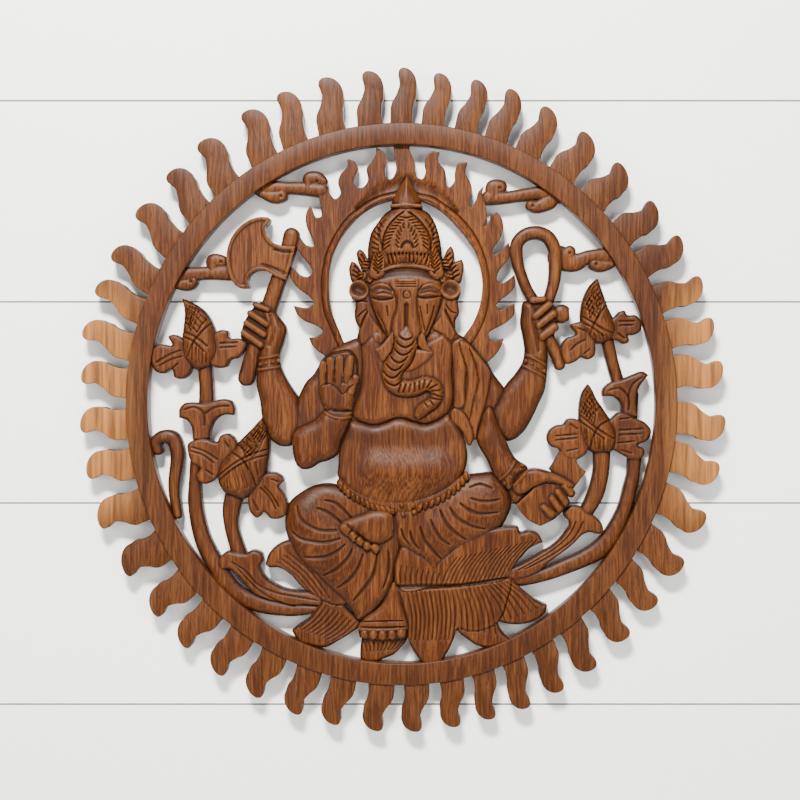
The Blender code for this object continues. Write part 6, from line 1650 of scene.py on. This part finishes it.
def grain_group():
    """Straight grain up the board: its colour, roughness and relief, with painted shade in hollows, on slopes
    and down the sides, and edges lightened as wear and painted highlight.
    """
    tree = bpy.data.node_groups.new("board_grain", "ShaderNodeTree")
    face = tree.interface
    for name, kind in (("Dark", "Color"), ("Middle", "Color"), ("Light", "Color"), ("Sapwood", "Float")):
        face.new_socket(name, in_out="INPUT", socket_type="NodeSocket" + kind)
    for name, kind in (("Color", "Color"), ("Roughness", "Float"), ("Height", "Float")):
        face.new_socket(name, in_out="OUTPUT", socket_type="NodeSocket" + kind)
    given = tree.nodes.new("NodeGroupInput").outputs
    place = put(tree, "ShaderNodeTexCoord").outputs["Object"]

    def noise(stretch, scale, detail=2.0, rough=0.5):
        squeezed = put(tree, "ShaderNodeVectorMath", {0: place, 1: stretch}, operation="MULTIPLY")
        node = put(tree, "ShaderNodeTexNoise", {
            "Vector": squeezed.outputs[0], "Scale": scale, "Detail": detail, "Roughness": rough})
        return node.outputs["Fac"]

    def ramp(value, low, high, out_low=0.0, out_high=1.0):
        node = put(tree, "ShaderNodeMapRange", {
            "Value": value, "From Min": low, "From Max": high, "To Min": out_low, "To Max": out_high})
        return node.outputs[0]

    def mixed(share, first, second, blend="MIX"):
        node = put(tree, "ShaderNodeMix", {0: share, 6: first, 7: second}, data_type="RGBA", blend_type=blend)
        return node.outputs[2]

    def fact(name):
        return put(tree, "ShaderNodeAttribute", attribute_name=name).outputs["Fac"]

    broad = noise((1, 1, 0.12), 22, 3)
    streaks = noise((1, 1.6, 0.035), 240, 4, 0.6)
    fine = noise((1, 1.5, 0.06), 800, 2, 0.6)
    pores = noise((1, 1.5, 0.18), 1000, 2, 0.5)
    figure = noise((1, 1, 0.2), 60, 2)
    parts = put(tree, "ShaderNodeSeparateXYZ", {0: place}).outputs
    drift = math_node(tree, "MULTIPLY_ADD", parts[1], 2.4, parts[0])
    waver = math_node(tree, "MULTIPLY_ADD", figure, 0.03, drift)
    rings = math_node(tree, "SINE", math_node(tree, "MULTIPLY", waver, 2 * math.pi / GROWTH_RING))
    tone = math_node(tree, "ADD", ramp(streaks, 0.3, 0.7, -0.15, 0.15), ramp(broad, 0.3, 0.7, -0.13, 0.13))
    tone = math_node(tree, "ADD", tone, math_node(tree, "MULTIPLY", rings, 0.07))
    tone = math_node(tree, "ADD", tone, ramp(fine, 0.3, 0.7, -0.17, 0.17))
    tone = math_node(tree, "ADD", tone, 0.5)
    color = mixed(ramp(tone, 0.0, 0.5), given["Dark"], given["Middle"])
    color = mixed(ramp(tone, 0.45, 1.0), color, given["Light"])
    fleck = ramp(pores, 0.40, 0.30)
    color = mixed(math_node(tree, "MULTIPLY", fleck, 0.6), color, given["Dark"])
    side = ramp(math_node(tree, "ABSOLUTE", parts[0]), 0.238, 0.268)
    level = ramp(math_node(tree, "ABSOLUTE", parts[2]), 0.125, 0.085)
    pale = math_node(tree, "MULTIPLY", math_node(tree, "MULTIPLY", side, level), given["Sapwood"])
    pale = math_node(tree, "MULTIPLY", pale, ramp(streaks, 0.35, 0.62, 0.3, 1.0))
    color = mixed(math_node(tree, "MULTIPLY", pale, 0.80), color, SAPWOOD)
    # Painted shade in hollows.
    hollow = fact("hollow")
    color = mixed(math_node(tree, "MULTIPLY", hollow, 0.88), color, PAINTED_SHADE_WOOD)
    # Painted shade on slopes and along lines.
    color = mixed(math_node(tree, "MULTIPLY", fact("oiled"), 0.75), color, given["Dark"])
    # Painted shade down the sides towards the back, and on the back.
    color = mixed(math_node(tree, "MULTIPLY", fact("cut"), 0.75), color, BACK_SHADE_WOOD)
    # High edges lightened, partly as wear and partly as painted highlight.
    color = mixed(math_node(tree, "MULTIPLY", fact("raised"), 0.35), color, given["Light"])
    dulled = math_node(tree, "MULTIPLY", hollow, 0.15)
    rough = math_node(tree, "ADD", ramp(streaks, 0.3, 0.7, 0.40, 0.50), dulled)
    height = math_node(tree, "ADD", ramp(fine, 0.3, 0.7, 0.0, 0.5), math_node(tree, "MULTIPLY", fleck, -0.8))
    put(tree, "NodeGroupOutput", {"Color": color, "Roughness": rough, "Height": height})
    return tree


def wood_finish(name, group, dark, middle, light, sapwood):
    """The shared grain in its own colours, with the dull shine of a satin polish."""
    material = bpy.data.materials.new(name)
    material.use_nodes = True
    tree = material.node_tree
    shader = tree.nodes["Principled BSDF"]
    grain = put(tree, "ShaderNodeGroup", node_tree=group)
    for socket, value in (("Dark", dark), ("Middle", middle), ("Light", light)):
        grain.inputs[socket].default_value = (*value, 1)
    grain.inputs["Sapwood"].default_value = sapwood
    bump = put(tree, "ShaderNodeBump", {
        "Height": grain.outputs["Height"], "Strength": 0.20, "Distance": 0.0003})
    tree.links.new(grain.outputs["Color"], shader.inputs["Base Color"])
    tree.links.new(grain.outputs["Roughness"], shader.inputs["Roughness"])
    tree.links.new(bump.outputs[0], shader.inputs["Normal"])
    shader.inputs["Specular IOR Level"].default_value = 0.13
    return material


def plain_finish(name, color, one_sided=False):
    """Dull paint. One-sided paint is clear from behind, so that the panel's back can be seen."""
    material = bpy.data.materials.new(name)
    material.use_nodes = True
    tree = material.node_tree
    shader = tree.nodes["Principled BSDF"]
    shader.inputs["Base Color"].default_value = (*color, 1)
    shader.inputs["Roughness"].default_value = 0.7
    if one_sided:
        facing = put(tree, "ShaderNodeNewGeometry")
        clear = put(tree, "ShaderNodeBsdfTransparent")
        mix = put(tree, "ShaderNodeMixShader", {0: facing.outputs["Backfacing"], 1: shader.outputs[0],
                                                2: clear.outputs[0]})
        tree.links.new(mix.outputs[0], tree.nodes["Material Output"].inputs["Surface"])
    return material


def stage_sheet(name, corners, material):
    """A flat part of the stage, four corners to each face."""
    mesh = bpy.data.meshes.new(name)
    mesh.from_pydata(corners, [], [tuple(range(first, first + 4)) for first in range(0, len(corners), 4)])
    mesh.materials.append(material)
    sheet = bpy.data.objects.new(name, mesh)
    bpy.context.collection.objects.link(sheet)
    return sheet


def area_light(name, place, size, power, color):
    """A soft light at a place, turned to the middle of the panel."""
    data = bpy.data.lights.new(name, "AREA")
    data.shape = "RECTANGLE"
    data.size, data.size_y = size
    data.energy = power
    data.color = color
    light = bpy.data.objects.new(name, data)
    light.location = place
    light.rotation_euler = (-Vector(place)).to_track_quat("-Z", "Y").to_euler()
    bpy.context.collection.objects.link(light)


def build_wall():
    """The pale planks just behind the panel, the dark seams between them, and the floor far below."""
    reach = WALL_REACH
    corners = []
    for number in range(PLANKS_BELOW, PLANKS_ABOVE):
        low = FIRST_SEAM + number * PLANK_HEIGHT + SEAM / 2
        high = low + PLANK_HEIGHT - SEAM
        corners += [(-reach, WALL_GAP, low), (reach, WALL_GAP, low)]
        corners += [(reach, WALL_GAP, high), (-reach, WALL_GAP, high)]
    behind = WALL_GAP + SEAM
    low, high = corners[0][2], corners[-1][2]
    seams = [(-reach, behind, low), (reach, behind, low), (reach, behind, high), (-reach, behind, high)]
    paint = plain_finish("wall_paint", (0.92, 0.925, 0.905), one_sided=True)
    shade = plain_finish("seam_shade", (0.06, 0.055, 0.05), one_sided=True)
    for name, places, finish in (("pale_wall", corners, paint), ("wall_seams", seams, shade)):
        stage_sheet(name, places, finish).visible_shadow = False
    sides = ((-reach, -reach), (reach, -reach), (reach, reach), (-reach, reach))
    floor = [(x, y, -FLOOR_DOWN) for x, y in sides]
    stage_sheet("pale_floor", floor, plain_finish("floor_paint", (0.85, 0.84, 0.81)))


def set_lights():
    """A window above to the left, a weak panel each side, a window behind, and the room's own light."""
    area_light("window_above", (-0.25, -1.6, 1.30), (0.45, 0.3), 165, (1.0, 0.975, 0.94))
    area_light("left_panel", (-0.85, -1.6, 0.0), (0.5, 0.6), 9, (1.0, 0.99, 0.97))
    area_light("right_panel", (0.85, -1.6, 0.0), (0.5, 0.6), 11, (1.0, 0.99, 0.97))
    area_light("back_window", (0.7, 1.8, 0.7), (1.0, 1.0), 30, (0.96, 0.98, 1.0))
    world = bpy.data.worlds.new("room")
    bpy.context.scene.world = world
    world.use_nodes = True
    backdrop = world.node_tree.nodes["Background"]
    backdrop.inputs["Color"].default_value = (0.86, 0.92, 1.0, 1)
    backdrop.inputs["Strength"].default_value = 0.50


def set_camera():
    """The camera looks straight at the wall, and its shift frames the panel as the photo does."""
    data = bpy.data.cameras.new("camera")
    data.sensor_width = SENSOR_WIDTH_MM
    data.lens = SENSOR_WIDTH_MM * CAMERA_DISTANCE / PICTURE_WIDTH
    data.shift_x = (PICTURE_MIDDLE[0] - CAMERA_SIDE) / PICTURE_WIDTH
    data.shift_y = (PICTURE_MIDDLE[1] - CAMERA_UP) / PICTURE_WIDTH
    camera = bpy.data.objects.new("camera", data)
    camera.location = (CAMERA_SIDE, -CAMERA_DISTANCE - RING_DEPTH, CAMERA_UP)
    camera.rotation_euler = (math.pi / 2, 0, 0)
    bpy.context.collection.objects.link(camera)
    bpy.context.scene.camera = camera


def main():
    group = grain_group()
    figure_wood = wood_finish("figure_wood", group, *FIGURE_WOOD)
    ring_wood = wood_finish("ring_wood", group, *RING_WOOD)
    ray_wood = wood_finish("ray_wood", group, *RAY_WOOD)
    build_reliefs(figure_wood)
    build_frame(ring_wood, ray_wood)
    build_trims(figure_wood)
    build_wall()
    set_lights()
    set_camera()


main()
